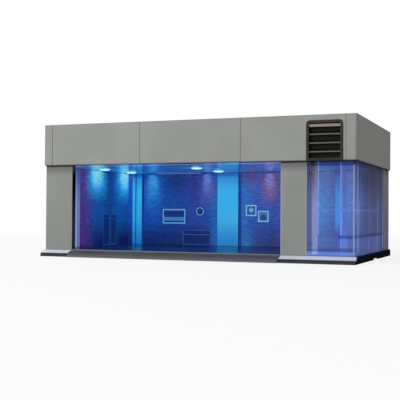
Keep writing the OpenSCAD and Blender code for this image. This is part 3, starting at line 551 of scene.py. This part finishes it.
rearPrint = {
    "axis": "X",
    "ground": (24, 78, 166),
    "low": (18, 42, 108),
    "tints": [
        {"at": -66, "width": 17, "span": (44, 64), "colour": (22, 50, 110)},
        {"at": -50, "width": 9, "span": (30, 60), "colour": (48, 52, 134)},
        {"at": 2, "width": 16, "span": (30, 64), "colour": (60, 92, 166)},
        {"at": 34, "width": 12, "span": (30, 64), "colour": (90, 70, 108)},
        {"at": 4, "width": 12, "span": (50, 68), "shares": (0.0, 0.95), "colour": (80, 66, 130)},
        {"at": 60, "width": 16, "span": (6, 40), "colour": (98, 166, 208)},
        {"at": 90, "width": 9, "span": (6, 40), "colour": (128, 168, 214)},
        {"at": 106, "width": 12, "span": (0, 20), "colour": (40, 46, 86)},
        {"at": -31, "width": 5, "span": (62, 46), "shares": (0.0, 0.7), "colour": (30, 102, 180)},
        {"at": -3, "width": 6, "span": (66, 52), "shares": (0.0, 0.7), "colour": (46, 112, 186)},
    ],
    "poolTop": 68.7,
    "pools": [
        {"at": -91.0, "size": (11, 42, 0.1), "colour": (42, 128, 196), "core": (60, 152, 210)},
        {"at": -38.0, "size": (10, 38, 0.1), "colour": (84, 88, 168), "core": (88, 122, 196)},
        {"at": 19.0, "size": (10, 36, 0.1), "colour": (124, 94, 146), "core": (122, 120, 184)},
    ],
    "plates": [
        # painted shade: a dark strip beside the middle pilaster
        {"box": (-7.0, 37, 1.0, 63.4), "field": (20, 62, 134)},
        {"box": (-66, 68.6, 43, 0.3), "field": (134, 156, 224)},
        {"box": (-70, 30.5, 22, 13), "field": (26, 58, 130), "rim": 1.1, "border": (104, 168, 214)},
        {"box": (-70, 28.2, 19.8, 3.2), "field": (66, 126, 190)},
        {"box": (-70, 33.4, 19.8, 2.0), "field": (18, 46, 112)},
        {"box": (2.5, 36, 9.5, 9.5), "field": (40, 92, 150), "rim": 1.0, "border": (134, 190, 226)},
        {"box": (13.5, 31, 9.5, 9.5), "field": (64, 110, 156), "rim": 1.0, "border": (134, 190, 226)},
        {"box": (-48, 12, 26, 13), "field": (16, 38, 98), "rim": 0.7, "border": (40, 82, 160)},
        {"box": (-48, 14.5, 24, 0.7), "field": (46, 92, 170)},
    ],
    "discs": [
        {"x": -45, "z": 35, "r": 3.6, "colour": (104, 164, 212)},
        {"x": -45, "z": 35, "r": 2.9, "colour": (20, 44, 110)},
        {"x": 2.5, "z": 36.4, "r": 2.1, "colour": (112, 172, 208)},
        {"x": 13.5, "z": 30.0, "r": 2.5, "colour": (30, 66, 126)},
    ],
}


def addPlate(tree, colour, across, height, plate):
    x, z, wide, high = plate["box"]
    mask = useGroup(
        tree, printedPlate, across=across, height=height, x=x, z=z, halfWidth=wide / 2, halfHeight=high / 2,
        rim=plate.get("rim", 0.0),
    )
    share = 1.0
    if "fade" in plate:  # fainter towards this height
        rise = ramp(tree, height, plate["fade"], plate["fade"] / 2)
        share = spread(tree, rise, cardLook["faintest"], 1.0)
    colour = mixColour(tree, times(tree, mask["field"], share), colour, plate["field"])
    if "border" in plate:
        colour = mixColour(tree, mask["border"], colour, plate["border"])
    return colour


def printedCard(name, look):
    material, tree, shader, place = startMaterial(name)
    at = axes(tree, place)
    across = at[look["axis"]]
    height = at["Z"]
    colour = mixColour(tree, ramp(tree, height, *cardLook["lowSpan"]), look["low"], look["ground"])
    for tint in look["tints"]:
        shares = tint.get("shares", cardLook["tintShares"])
        rise = spread(tree, ramp(tree, height, *tint["span"]), *shares)
        soft = bell(tree, across, tint["at"], tint["width"])
        colour = mixColour(tree, times(tree, soft, rise), colour, tint["colour"])
    for pool in look["pools"]:
        width, reach, neck = pool["size"]
        glow = useGroup(
            tree, downlight, across=across, height=height, centre=pool["at"], top=look["poolTop"],
            width=width, reach=reach, neck=neck,
        )["glow"]
        colour = mixColour(tree, ramp(tree, glow, *cardLook["pool"]), colour, pool["colour"])
        colour = mixColour(tree, ramp(tree, glow, *cardLook["core"]), colour, pool["core"])
    brick = useGroup(tree, brickwork, across=across, height=height)
    shade = calc(tree, "MULTIPLY_ADD", brick["tone"], cardLook["brick"], 1 - cardLook["brick"] / 2)
    shade = calc(tree, "MULTIPLY_ADD", brick["mortar"], cardLook["mortar"], shade)
    colour = mixColour(tree, 1.0, colour, shade, "MULTIPLY")
    for plate in look["plates"]:
        colour = addPlate(tree, colour, across, height, plate)
    for disc in look["discs"]:
        spot = useGroup(tree, halo, x=across, y=height, atX=disc["x"], atY=disc["z"], radius=disc["r"])
        colour = mixColour(tree, ramp(tree, spot["glow"], *cardLook["disc"]), colour, disc["colour"])
    # painted light: the print glows as though lit by the bay's lamps
    paintedGlow(tree, shader, colour, cardLook["glow"])
    grain = grainOf(tree, place, cardLook)
    feed(tree, shader.inputs["Roughness"], spread(tree, grain["cloud"], *cardLook["rough"]))
    roughen(tree, shader, brick["mortar"], cardLook["relief"])
    return material


# the pilasters, in painted light and shade: a lit face that glows, painted shade on the sides and at the
# head, and the right one paler from its middle on
pilasterLook = {
    "foot": (28, 130, 200), "middle": (56, 184, 236), "top": (42, 140, 206), "head": (24, 92, 172),
    "footSpan": (5, 34), "topSpan": (50, 68), "headSpan": (63.5, 67.5),
    "shade": (10, 36, 104), "turn": (0.5, 0.9), "cloud": 0.12,
    "far": (92, 140, 200), "farSpan": (80.4, 80.8), "farFoot": (52, 66, 150), "farFootSpan": (26, 14),
    "cornerSpan": (74.6, 75.6), "glow": 0.66,
    "grain": 1800, "mottle": 50, "rough": (0.3, 0.42), "depth": 0.015,
}


def pilasterFinish(look):
    material, tree, shader, place = startMaterial("pilasterBlue")
    at = axes(tree, place)
    across, height = at["X"], at["Z"]
    colour = mixColour(tree, ramp(tree, height, *look["footSpan"]), look["foot"], look["middle"])
    colour = fadeIn(tree, colour, height, look, "top")
    colour = fadeIn(tree, colour, height, look, "head")
    corner = ramp(tree, across, *look["cornerSpan"])
    farFoot = times(tree, corner, ramp(tree, height, *look["farFootSpan"]))
    colour = mixColour(tree, farFoot, colour, look["farFoot"])
    aside = ramp(tree, calc(tree, "ABSOLUTE", facing(tree)["X"]), *look["turn"])
    colour = mixColour(tree, aside, colour, look["shade"])
    colour = fadeIn(tree, colour, across, look, "far")
    grain = grainOf(tree, place, look)
    colour = mixColour(tree, times(tree, grain["cloud"], look["cloud"]), colour, look["top"])
    paintedGlow(tree, shader, colour, look["glow"])
    grainSurface(tree, shader, grain, look)
    return material


# lamps: where they hang, from the frame
lampNames = sorted(name for name in frame["nodes"] if name.startswith("lamp_lens"))
lampPlaces = []
for lampName in lampNames:
    low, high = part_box(lampName)
    lampPlaces.append((low + high) / 2 / mm)


def lampPools(tree, place, radius):  # every lamp's round pool, added up
    at = axes(tree, place)
    total = 0.0
    for spot in lampPlaces:
        glow = useGroup(tree, halo, x=at["X"], y=at["Y"], atX=spot.x, atY=spot.y, radius=radius)["glow"]
        total = calc(tree, "ADD", glow, total)
    return calc(tree, "MINIMUM", total, 1.0)


# the two polished panels, glowing with painted light: their field, painted pools of the lamps' light, a band
# of painted light along a lip near the front, and painted shade along the front edge
ceilingLook = {
    "field": (36, 92, 158), "pool": (60, 152, 206), "pools": 15, "cloud": 0.15,
    "lip": (134, 146, 176), "lipSpan": (-53, -43, 1.5), "front": (30, 38, 66), "frontSpan": (-54, -56),
    "glow": 0.45, "specular": 0.35, "grain": 700, "mottle": 30, "rough": (0.1, 0.16), "depth": 0.0002,
}
floorLook = {
    **ceilingLook, "field": (8, 11, 38), "pool": (13, 30, 84), "pools": 24,
    "lip": (8, 11, 38), "lipSpan": (-53, -46, 1.5), "front": (8, 11, 38), "frontSpan": (-50, -60),
    "glow": 0.32, "specular": 0.3, "rough": (0.2, 0.26), "depth": 0.0006,
}


def glossPanel(name, look):
    material, tree, shader, place = startMaterial(name)
    colour = mixColour(tree, lampPools(tree, place, look["pools"]), look["field"], look["pool"])
    grain = grainOf(tree, place, look)
    colour = mixColour(tree, times(tree, grain["cloud"], look["cloud"]), colour, look["field"])
    along = axes(tree, place)["Y"]
    colour = mixColour(tree, band(tree, along, *look["lipSpan"]), colour, look["lip"])
    colour = fadeIn(tree, colour, along, look, "front")
    paintedGlow(tree, shader, colour, look["glow"])
    shader.inputs["Specular IOR Level"].default_value = look["specular"]
    grainSurface(tree, shader, grain, look)
    return material


# clear styrene, a little hazy; its bars and edges glow with painted light, standing in for light piped into
# it
windowLook = {
    # painted light in it: a glow in the pane, and painted highlights along its bars, edges and corner
    "haze": (10, 14, 46), "low": (42, 54, 98), "rear": (44, 48, 78), "bars": (132, 158, 198),
    "barFoot": (62, 76, 122), "side": (50, 54, 90), "rail": (22, 26, 66), "transom": (70, 84, 140),
    "foot": (112, 150, 236), "edge": (206, 214, 255), "corner": (176, 202, 255), "glow": 0.5,
    # the tint of what shows through it, darker at the head and top, with painted shade at the rail and the
    # foot
    "clear": (188, 198, 232), "upperFront": (188, 174, 202), "upperSide": (134, 136, 158),
    "head": (112, 108, 148), "headSide": (96, 97, 118), "top": (44, 46, 58), "shade": (136, 144, 204),
    # heights, some with a softness
    "footSpan": (5.2, 8.0, 0.3), "footShade": (8.4, 9.8, 0.3), "lowSpan": (19, 16),
    "railSpan": (17, 19, 0.2), "railShade": (16.9, 19.1, 0.3), "transomSpan": (35.2, 36.8, 0.2),
    "uprightSpan": (7, 66, 0.5), "upperSpan": (36, 65), "headSpan": (64.5, 66.5), "topSpan": (67.8, 68.4),
    # distances in from its sides
    "pane": (2.03, 2.07), "flange": (5.48, 5.52), "barDepth": 4.6, "turn": (3, 6), "lowFrom": (7, 9),
    "railFrom": (23.8, 24.8), "rearSpan": (9, 6), "post": 4.2, "postDepth": 6, "frontSkin": 0.4,
    "sideSkin": 0.5, "cornerSpan": (0.5, 1.3, 0.1), "turnedSpan": (8, 10.4, 0.4),
    # how strongly its edges shine, and its surface
    "footShare": 0.75, "cornerShare": 0.8, "turnedShare": 0.35, "shineShare": 0.7, "sideShine": 0.6,
    "edgeBand": 0.3, "bend": 1.015, "through": 0.94,
    "grain": 240, "mottle": 40, "rough": (0.02, 0.05), "depth": 0.004,
}


def windowFinish(look):
    material, tree, shader, place = startMaterial("clearWindow")
    low, high = (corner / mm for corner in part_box("corner_window"))
    at = axes(tree, place)
    height = at["Z"]
    fromFront = minus(tree, at["Y"], low.y)
    fromRear = minus(tree, high.y, at["Y"])
    fromPier = minus(tree, at["X"], low.x)
    fromSide = minus(tree, high.x, at["X"])
    inX = times(tree, ramp(tree, fromPier, *look["flange"]), ramp(tree, fromSide, *look["pane"]))
    inY = times(tree, ramp(tree, fromFront, *look["pane"]), ramp(tree, fromRear, *look["flange"]))
    ahead = calc(tree, "LESS_THAN", fromFront, look["barDepth"])
    behind = ramp(tree, fromFront, *look["turn"])
    outer = calc(tree, "LESS_THAN", fromFront, look["frontSkin"])
    post = calc(tree, "LESS_THAN", fromSide, look["post"])
    post = times(tree, post, calc(tree, "LESS_THAN", fromFront, look["postDepth"]))
    lower = ramp(tree, height, *look["lowSpan"])
    upright = band(tree, height, *look["uprightSpan"])

    bars = mixColour(tree, ahead, look["side"], look["bars"])
    bars = mixColour(tree, times(tree, ahead, lower), bars, look["barFoot"])
    bars = mixColour(tree, band(tree, height, *look["railSpan"]), bars, look["rail"])
    bars = mixColour(tree, band(tree, height, *look["transomSpan"]), bars, look["transom"])
    bars = mixColour(tree, post, bars, look["side"])
    bottom = times(tree, lower, ramp(tree, fromPier, *look["lowFrom"]))
    light = mixColour(tree, bottom, look["haze"], look["low"])
    light = fadeIn(tree, light, fromRear, look, "rear")
    light = mixColour(tree, times(tree, inX, inY), light, bars)
    foot = times(tree, band(tree, height, *look["footSpan"]), outer, look["footShare"])
    light = mixColour(tree, foot, light, look["foot"])
    corner = times(tree, band(tree, fromSide, *look["cornerSpan"]), upright, look["cornerShare"])
    light = mixColour(tree, corner, light, look["corner"])
    sideSkin = calc(tree, "LESS_THAN", fromSide, look["sideSkin"])
    turned = times(tree, band(tree, fromFront, *look["turnedSpan"]), upright, sideSkin, look["turnedShare"])
    light = mixColour(tree, turned, light, look["edge"])
    shine = times(tree, edgeMaskOf(tree, look), inX, upright, minus(tree, 1.0, post))
    shine = times(tree, shine, spread(tree, behind, 1.0, look["sideShine"]), look["shineShare"])
    light = mixColour(tree, shine, light, look["edge"])

    upper = mixColour(tree, behind, look["upperFront"], look["upperSide"])
    tint = mixColour(tree, ramp(tree, height, *look["upperSpan"]), look["clear"], upper)
    head = mixColour(tree, behind, look["head"], look["headSide"])
    tint = mixColour(tree, ramp(tree, height, *look["headSpan"]), tint, head)
    tint = fadeIn(tree, tint, height, look, "top")
    railShade = times(tree, band(tree, height, *look["railShade"]), ramp(tree, fromPier, *look["railFrom"]))
    footShade = times(tree, band(tree, height, *look["footShade"]), outer)
    tint = mixColour(tree, calc(tree, "MAXIMUM", railShade, footShade), tint, look["shade"])

    fill(tree, shader, {
        "Base Color": tint, "Emission Color": light, "Emission Strength": look["glow"],
        "Transmission Weight": look["through"], "IOR": look["bend"],
    })
    grainSurface(tree, shader, grainOf(tree, place, look), look)
    return material


lampLook = {
    "lens": (240, 250, 255), "light": (172, 242, 250), "warm": (196, 250, 250), "rim": (38, 116, 186),
    "core": 4.0, "coreSpan": (0.22, 0.36), "glow": 1.2, "grain": 900, "mottle": 300, "rough": (0.25, 0.45),
    "depth": 0.05,
}


def lampFinish(look):
    material, tree, shader, place = startMaterial("lampGlow")
    grain = grainOf(tree, place, look)
    light = mixColour(tree, grain["cloud"], look["light"], look["warm"])
    core = ramp(tree, lampPools(tree, place, look["core"]), *look["coreSpan"])
    fill(tree, shader, {
        "Base Color": mixColour(tree, grain["cloud"], look["lens"], look["light"]),
        "Emission Color": mixColour(tree, core, look["rim"], light),
        "Emission Strength": look["glow"],
        "Roughness": spread(tree, grain["height"], *look["rough"]),
    })
    roughen(tree, shader, grain["height"], look["depth"])
    return material


# inner parts: resin, black mouldings, leads, board, cells, metal
resinLook = {
    "dark": (206, 222, 236), "light": (226, 238, 248), "edge": (250, 252, 255), "specular": 0.5,
    "grain": 1400, "mottle": 200, "edgeBand": 0.3, "highlightShare": 0.4, "rough": 0.18, "depth": 0.006,
}
chipLook = {
    "dark": (22, 22, 24), "light": (28, 28, 30), "edge": (58, 58, 62), "specular": 0.4,
    "grain": 3000, "mottle": 200, "edgeBand": 0.2, "highlightShare": 0.4, "rough": 0.4, "depth": 0.02,
}
darkLead = {
    "dark": (26, 27, 30), "light": (34, 35, 38), "edge": (70, 72, 76), "specular": 0.5,
    "grain": 2200, "mottle": 90, "edgeBand": 0.25, "highlightShare": 0.4, "rough": 0.4, "depth": 0.01,
}
redLead = {**darkLead, "dark": (156, 22, 24), "light": (176, 30, 30), "edge": (206, 70, 66)}
boardLook = {
    "mask": (22, 84, 52), "copper": (36, 118, 70), "pitch": 2.4, "run": (0.10, 0.16),
    "grain": 1600, "mottle": 60, "rough": (0.28, 0.4), "depth": 0.03,
}
cellLook = {
    "band": (186, 138, 62), "sleeve": (36, 38, 44), "cap": (190, 192, 196), "scuff": (90, 88, 84),
    "split": 0.3, "seam": 0.1, "scuffShare": 0.12, "turn": (0.6, 0.9), "metal": (0.7, 0.1),
    "grain": 1200, "mottle": 80, "rough": (0.22, 0.34), "depth": 0.006,
}
steelLook = {
    "dark": (150, 152, 156), "light": (196, 198, 202), "edge": (226, 228, 232),
    "grain": 1800, "mottle": 260, "edgeBand": 0.25, "highlightShare": 0.4, "rough": (0.38, 0.28), "depth": 0.008,
}


def boardFinish(look):  # solder mask over copper runs
    material, tree, shader, place = startMaterial("boardGreen")
    cells = addNode(tree, "ShaderNodeTexVoronoi", feature="DISTANCE_TO_EDGE", distance="MANHATTAN")
    feed(tree, cells.inputs["Vector"], place)
    cells.inputs["Scale"].default_value = 1 / (look["pitch"] * mm)
    run = ramp(tree, cells.outputs["Distance"], *look["run"])
    colour = mixColour(tree, run, look["mask"], look["copper"])
    rough = spread(tree, grainOf(tree, place, look)["cloud"], *look["rough"])
    fill(tree, shader, {"Base Color": colour, "Roughness": rough})
    roughen(tree, shader, run, look["depth"])
    return material


def cellFinish(look):  # two-tone shrink sleeve round each dry cell
    material, tree, shader, place = startMaterial("cellJacket")
    low, high = (corner.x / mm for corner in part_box("battery_1"))
    split = low + (high - low) * look["split"]
    side = ramp(tree, axes(tree, place)["X"], split - look["seam"], split + look["seam"])
    grain = grainOf(tree, place, look)
    colour = mixColour(tree, side, look["band"], look["sleeve"])
    colour = mixColour(tree, times(tree, grain["cloud"], look["scuffShare"]), colour, look["scuff"])
    end = ramp(tree, calc(tree, "ABSOLUTE", facing(tree)["X"]), *look["turn"])
    colour = mixColour(tree, end, colour, look["cap"])
    metal = calc(tree, "MAXIMUM", spread(tree, side, *look["metal"]), end)
    fill(tree, shader, {"Base Color": colour, "Metallic": metal})
    grainSurface(tree, shader, grain, look)
    return material


def steelFinish(look):
    material, tree, shader, place = startMaterial("platedSteel")
    grain = grainOf(tree, place, look)
    # painted highlight along the edges
    colour = toneWithEdgeHighlight(tree, grain["cloud"], edgeMaskOf(tree, look), look)
    fill(tree, shader, {"Base Color": colour, "Metallic": 1.0})
    grainSurface(tree, shader, grain, look)
    return material


steel = steelFinish(steelLook)
finishes = {
    "wall_grey": moulding("wallGrey", greyShell),
    "base_black": shadeByFacing(moulding("baseBlack", darkTray), baseFacingShades),
    "ramp_grey": rampFinish(rampPaint),
    "kerb_light": shadeByFacing(moulding("kerbLight", kerbStone), kerbFacingShades),
    "floor_gloss": glossPanel("bayFloor", floorLook),
    "clear_window": windowFinish(windowLook),
    "pilaster_blue": pilasterFinish(pilasterLook),
    "louvre_brown": louvreFinish(louvreBronze),
    "ceiling_gloss": glossPanel("ceilingGloss", ceilingLook),
    "lamp_glow": lampFinish(lampLook),
    "led_resin": moulding("ledResin", resinLook),
    "board_green": boardFinish(boardLook),
    "part_black": moulding("partBlack", chipLook),
    "cell_jacket": cellFinish(cellLook),
    "contact_steel": steel,
    "lead_red": moulding("leadRed", redLead),
    "lead_dark": moulding("leadDark", darkLead),
}
ownWalls = {
    "left_wall": shadeReturn(moulding("leftGrey", pierShell), returnShade),
    "right_pier": lightArris(litFin(moulding("pierGrey", pierShell), finLight), arrisLight),
    "rear_corner_wall": moulding("cornerGreyInShade", shadedShell),
}
for material in (finishes["wall_grey"], *ownWalls.values()):
    shadeEaves(material, eaves)
cards = {
    "left_backdrop": printedCard("leftCardPrint", leftPrint),
    "rear_backdrop": printedCard("rearCardPrint", rearPrint),
}
print("finishes:", len(bpy.data.materials))


# each node as a merged copy with softened edges, in its finish
weld = 0.001 * mm
flatAngle = math.radians(0.5)
cornerAngle = math.radians(35)
smoothAngle = math.radians(50)
leastRim = 2.5  # times the width of its bevel
bevelSteps = 2


def bodyOf(nodeName):
    for body, members in frame["record"]["behaviour"]["bodies"].items():
        if nodeName in members:
            return body


def makeMesh(name, form, material):
    mesh = bpy.data.meshes.new(name)
    form.to_mesh(mesh)
    form.free()
    mesh.materials.append(material)
    return mesh


def addPiece(name, form, body, material):
    mesh = makeMesh(name, form, material)
    mesh.shade_smooth()
    mesh.set_sharp_from_angle(angle=smoothAngle)
    piece = addObject(name, mesh)
    even = piece.modifiers.new("evenNormals", "WEIGHTED_NORMAL")
    even.keep_sharp = True
    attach(piece, body)
    return piece


def copyForm(nodeName):
    form = bmesh.new()
    form.from_mesh(frame["nodes"][nodeName].data)
    bmesh.ops.remove_doubles(form, verts=form.verts[:], dist=weld)
    bmesh.ops.dissolve_limit(form, angle_limit=flatAngle, verts=form.verts[:], edges=form.edges[:])
    return form


def isRim(edge, width):  # an outer corner that is long enough to soften
    if len(edge.link_faces) != 2 or not edge.is_convex:
        return False
    return edge.calc_face_angle(0.0) > cornerAngle and edge.calc_length() > leastRim * width


def dress(nodeName, material, width, detail=None):
    form = copyForm(nodeName)
    rims = [edge for edge in form.edges if isRim(edge, width * mm)]
    bmesh.ops.bevel(
        form, geom=rims, offset=width * mm, offset_type="OFFSET", affect="EDGES",
        segments=bevelSteps, profile=0.5, material=-1, clamp_overlap=True,
    )
    if detail:
        detail(form)
    piece = addPiece(nodeName + "_dressed", form, bodyOf(nodeName), material)
    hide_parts(nodeName)


# cross recess in every screw head, sizes from the head's middle
recess = {"arm": 1.35, "half": 0.32, "depth": 0.7, "headArea": 6.0, "level": 0.99}


def crossOutline(arm, half):
    outline = []
    for i in range(4):
        quarter = Matrix.Rotation(math.radians(90 * i), 3, "Z")
        for x, y in ((arm, -half), (arm, half), (half, half)):
            outline.append(quarter @ Vector((x, y, 0)))
    return outline


def cutCross(form, face):
    centre = face.calc_center_median()
    sink = face.normal * -recess["depth"] * mm
    ring = face.edges[:]
    bmesh.ops.delete(form, geom=[face], context="FACES_ONLY")
    corners = [form.verts.new(centre + spot * mm) for spot in crossOutline(recess["arm"], recess["half"])]
    rim = [form.edges.new((corners[i - 1], corners[i])) for i in range(len(corners))]
    bmesh.ops.triangle_fill(form, edges=ring + rim, use_beauty=True)
    foot = [form.verts.new(corner.co + sink) for corner in corners]
    for i in range(len(corners)):
        form.faces.new((corners[i - 1], corners[i], foot[i], foot[i - 1]))
    form.faces.new(foot)
    bmesh.ops.recalc_face_normals(form, faces=form.faces[:])


def cutCrosses(form, outward):  # in the heads' end faces
    form.normal_update()
    level = [face for face in form.faces if face.normal.z * outward > recess["level"]]
    heads = [face for face in level if face.calc_area() > recess["headArea"] * mm * mm]
    for face in heads:
        cutCross(form, face)
    print("screw heads:", len(heads))


# each lamp's lens: the flat cap drawn down into a shallow dome, round the light diode's pocket
lensDome = {"rings": 10, "pocket": 3.0, "openTop": 0.5}


def domeLens(form):
    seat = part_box("ceiling_panel")[0].z
    drop = seat - min(vert.co.z for vert in form.verts)
    spots = [vert.co.xy for vert in form.verts]
    axis = Vector([(min(spot[i] for spot in spots) + max(spot[i] for spot in spots)) / 2 for i in range(2)])
    cap = []
    for face in form.faces:
        nearest = min((vert.co.xy - axis).length for vert in face.verts)
        if nearest > lensDome["pocket"] * mm and face.calc_center_median().z < seat - weld:
            cap.append(face)
    bmesh.ops.delete(form, geom=cap, context="FACES")
    ring = [edge for edge in form.edges if edge.is_boundary]
    centred = Matrix.Translation((-axis.x, -axis.y, 0))
    turn = 0.0
    for i in range(lensDome["rings"]):
        ahead = math.radians(90) * (i + 1) / (lensDome["rings"] + lensDome["openTop"])
        made = bmesh.ops.extrude_edge_only(form, edges=ring)["geom"]
        verts = [part for part in made if isinstance(part, bmesh.types.BMVert)]
        ring = [part for part in made if isinstance(part, bmesh.types.BMEdge) and part.is_boundary]
        shrink = math.cos(ahead) / math.cos(turn)
        bmesh.ops.scale(form, vec=(shrink, shrink, 1), verts=verts, space=centred)
        bmesh.ops.translate(form, verts=verts, vec=(0, 0, drop * (math.sin(turn) - math.sin(ahead))))
        turn = ahead
    bmesh.ops.edgeloop_fill(form, edges=ring)
    bmesh.ops.recalc_face_normals(form, faces=form.faces[:])


# softened edge of each node, by finish
softEdges = {
    "wall_grey": {"roof_shell": 0.2, "rear_wall": 0.25, "battery_door": 0.25},
    "base_black": {"base_tray": 0.25, "power_knob": 0.08},
    "ramp_grey": {"entry_ramp": 0.2},
    "kerb_light": {"kerb_left": 0.12, "kerb_right": 0.12},
    "floor_gloss": {"floor_panel": 0.12},
    "clear_window": {"corner_window": 0.1},
    "pilaster_blue": {"pilaster_left": 0.12, "pilaster_middle": 0.12, "pilaster_right": 0.12},
    "louvre_brown": {"louvre_vent": 0.12},
    "ceiling_gloss": {"ceiling_panel": 0.2},
    "led_resin": {f"led_{i + 1}": 0.3 for i in range(len(lampNames))},
    "board_green": {"circuit_board": 0.1},
    "part_black": {"ir_receiver": 0.15, "control_chip": 0.15, "smoothing_capacitor": 0.3, "switch_body": 0.2,
                   "battery_tray": 0.2},
    "cell_jacket": {"battery_1": 0.5, "battery_2": 0.5, "battery_3": 0.5},
    "contact_steel": {"contacts_left": 0.05, "contacts_right": 0.05},
    "lead_red": {"battery_leads": 0.15},
    "lead_dark": {"switch_leads": 0.15},
}
screwHeads = {"base_screws": -1, "ceiling_screws": -1, "door_screw": 1}  # which way the heads look
lensEdge = 0.1
wallEdge = 0.25
cardEdge = 0.08
screwEdge = 0.15

for slot, widths in softEdges.items():
    for nodeName, width in widths.items():
        dress(nodeName, finishes[slot], width)
for nodeName in lampNames:
    dress(nodeName, finishes["lamp_glow"], lensEdge, domeLens)
for nodeName, material in ownWalls.items():
    dress(nodeName, material, wallEdge)
for nodeName, material in cards.items():
    dress(nodeName, material, cardEdge)
for nodeName, outward in screwHeads.items():
    dress(nodeName, steel, screwEdge, lambda form: cutCrosses(form, outward))


# plain studio: pale floor, white surround, a soft key from the front left and a fill from behind
studio = {
    "surround": 0.34,
    "floor": {
        "radius": 4000, "sides": 96, "drop": 0.05, "tone": 0.86, "rough": 0.9, "specular": 0.1,
        "fade": (0.3, 1.2), "white": 0.84,  # the fade in metres
    },
    "lamps": {
        "softKey": {"place": (-620, -1150, 900), "size": 900, "power": 15.9},
        "backFill": {"place": (-500, 1300, 800), "size": 1100, "power": 7.0},
    },
}


def seenRays(tree):  # 1 for what the camera sees, directly, through glass or in a reflection
    path = addNode(tree, "ShaderNodeLightPath")
    seen = calc(tree, "MAXIMUM", path.outputs["Is Camera Ray"], path.outputs["Is Transmission Ray"])
    return calc(tree, "MAXIMUM", seen, path.outputs["Is Glossy Ray"])


def setSurround(strength):
    world = bpy.data.worlds.new("studioWorld")
    world.use_nodes = True
    scene.world = world
    tree = world.node_tree
    background = tree.nodes["Background"]
    feed(tree, background.inputs["Color"], (255, 255, 255))
    feed(tree, background.inputs["Strength"], spread(tree, seenRays(tree), strength, 1.0))


def floorFinish(look):  # pale, and white where it is seen far off
    material, tree, shader, place = startMaterial("paleFloor")
    shader.inputs["Base Color"].default_value = (look["tone"], look["tone"], look["tone"], 1.0)
    fill(tree, shader, {"Roughness": look["rough"], "Specular IOR Level": look["specular"]})
    glow = addNode(tree, "ShaderNodeEmission")
    away = addNode(tree, "ShaderNodeVectorMath", operation="LENGTH")
    feed(tree, away.inputs[0], place)
    far = ramp(tree, away.outputs["Value"], *look["fade"])
    share = times(tree, seenRays(tree), spread(tree, far, look["white"], 1.0))
    blend = addNode(tree, "ShaderNodeMixShader")
    feed(tree, blend.inputs[0], share)
    feed(tree, blend.inputs[1], shader.outputs[0])
    feed(tree, blend.inputs[2], glow.outputs[0])
    feed(tree, tree.nodes["Material Output"].inputs["Surface"], blend.outputs[0])
    return material


def setFloor(look):
    form = bmesh.new()
    bmesh.ops.create_circle(form, cap_ends=True, segments=look["sides"], radius=look["radius"] * mm)
    bmesh.ops.translate(form, verts=form.verts[:], vec=(0, 0, -look["drop"] * mm))
    floor = addObject("studioFloor", makeMesh("studioFloor", form, floorFinish(look)))


def setLamp(name, look):
    lamp = bpy.data.lights.new(name, "AREA")
    lamp.shape = "DISK"
    lamp.size = look["size"] * mm
    lamp.energy = look["power"]
    stand = addObject(name, lamp)
    stand.location = Vector(look["place"]) * mm
    stand.rotation_euler = (-stand.location).to_track_quat("-Z", "Y").to_euler()


setSurround(studio["surround"])
setFloor(studio["floor"])
for lampName, lampSet in studio["lamps"].items():
    setLamp(lampName, lampSet)
print("studio set")
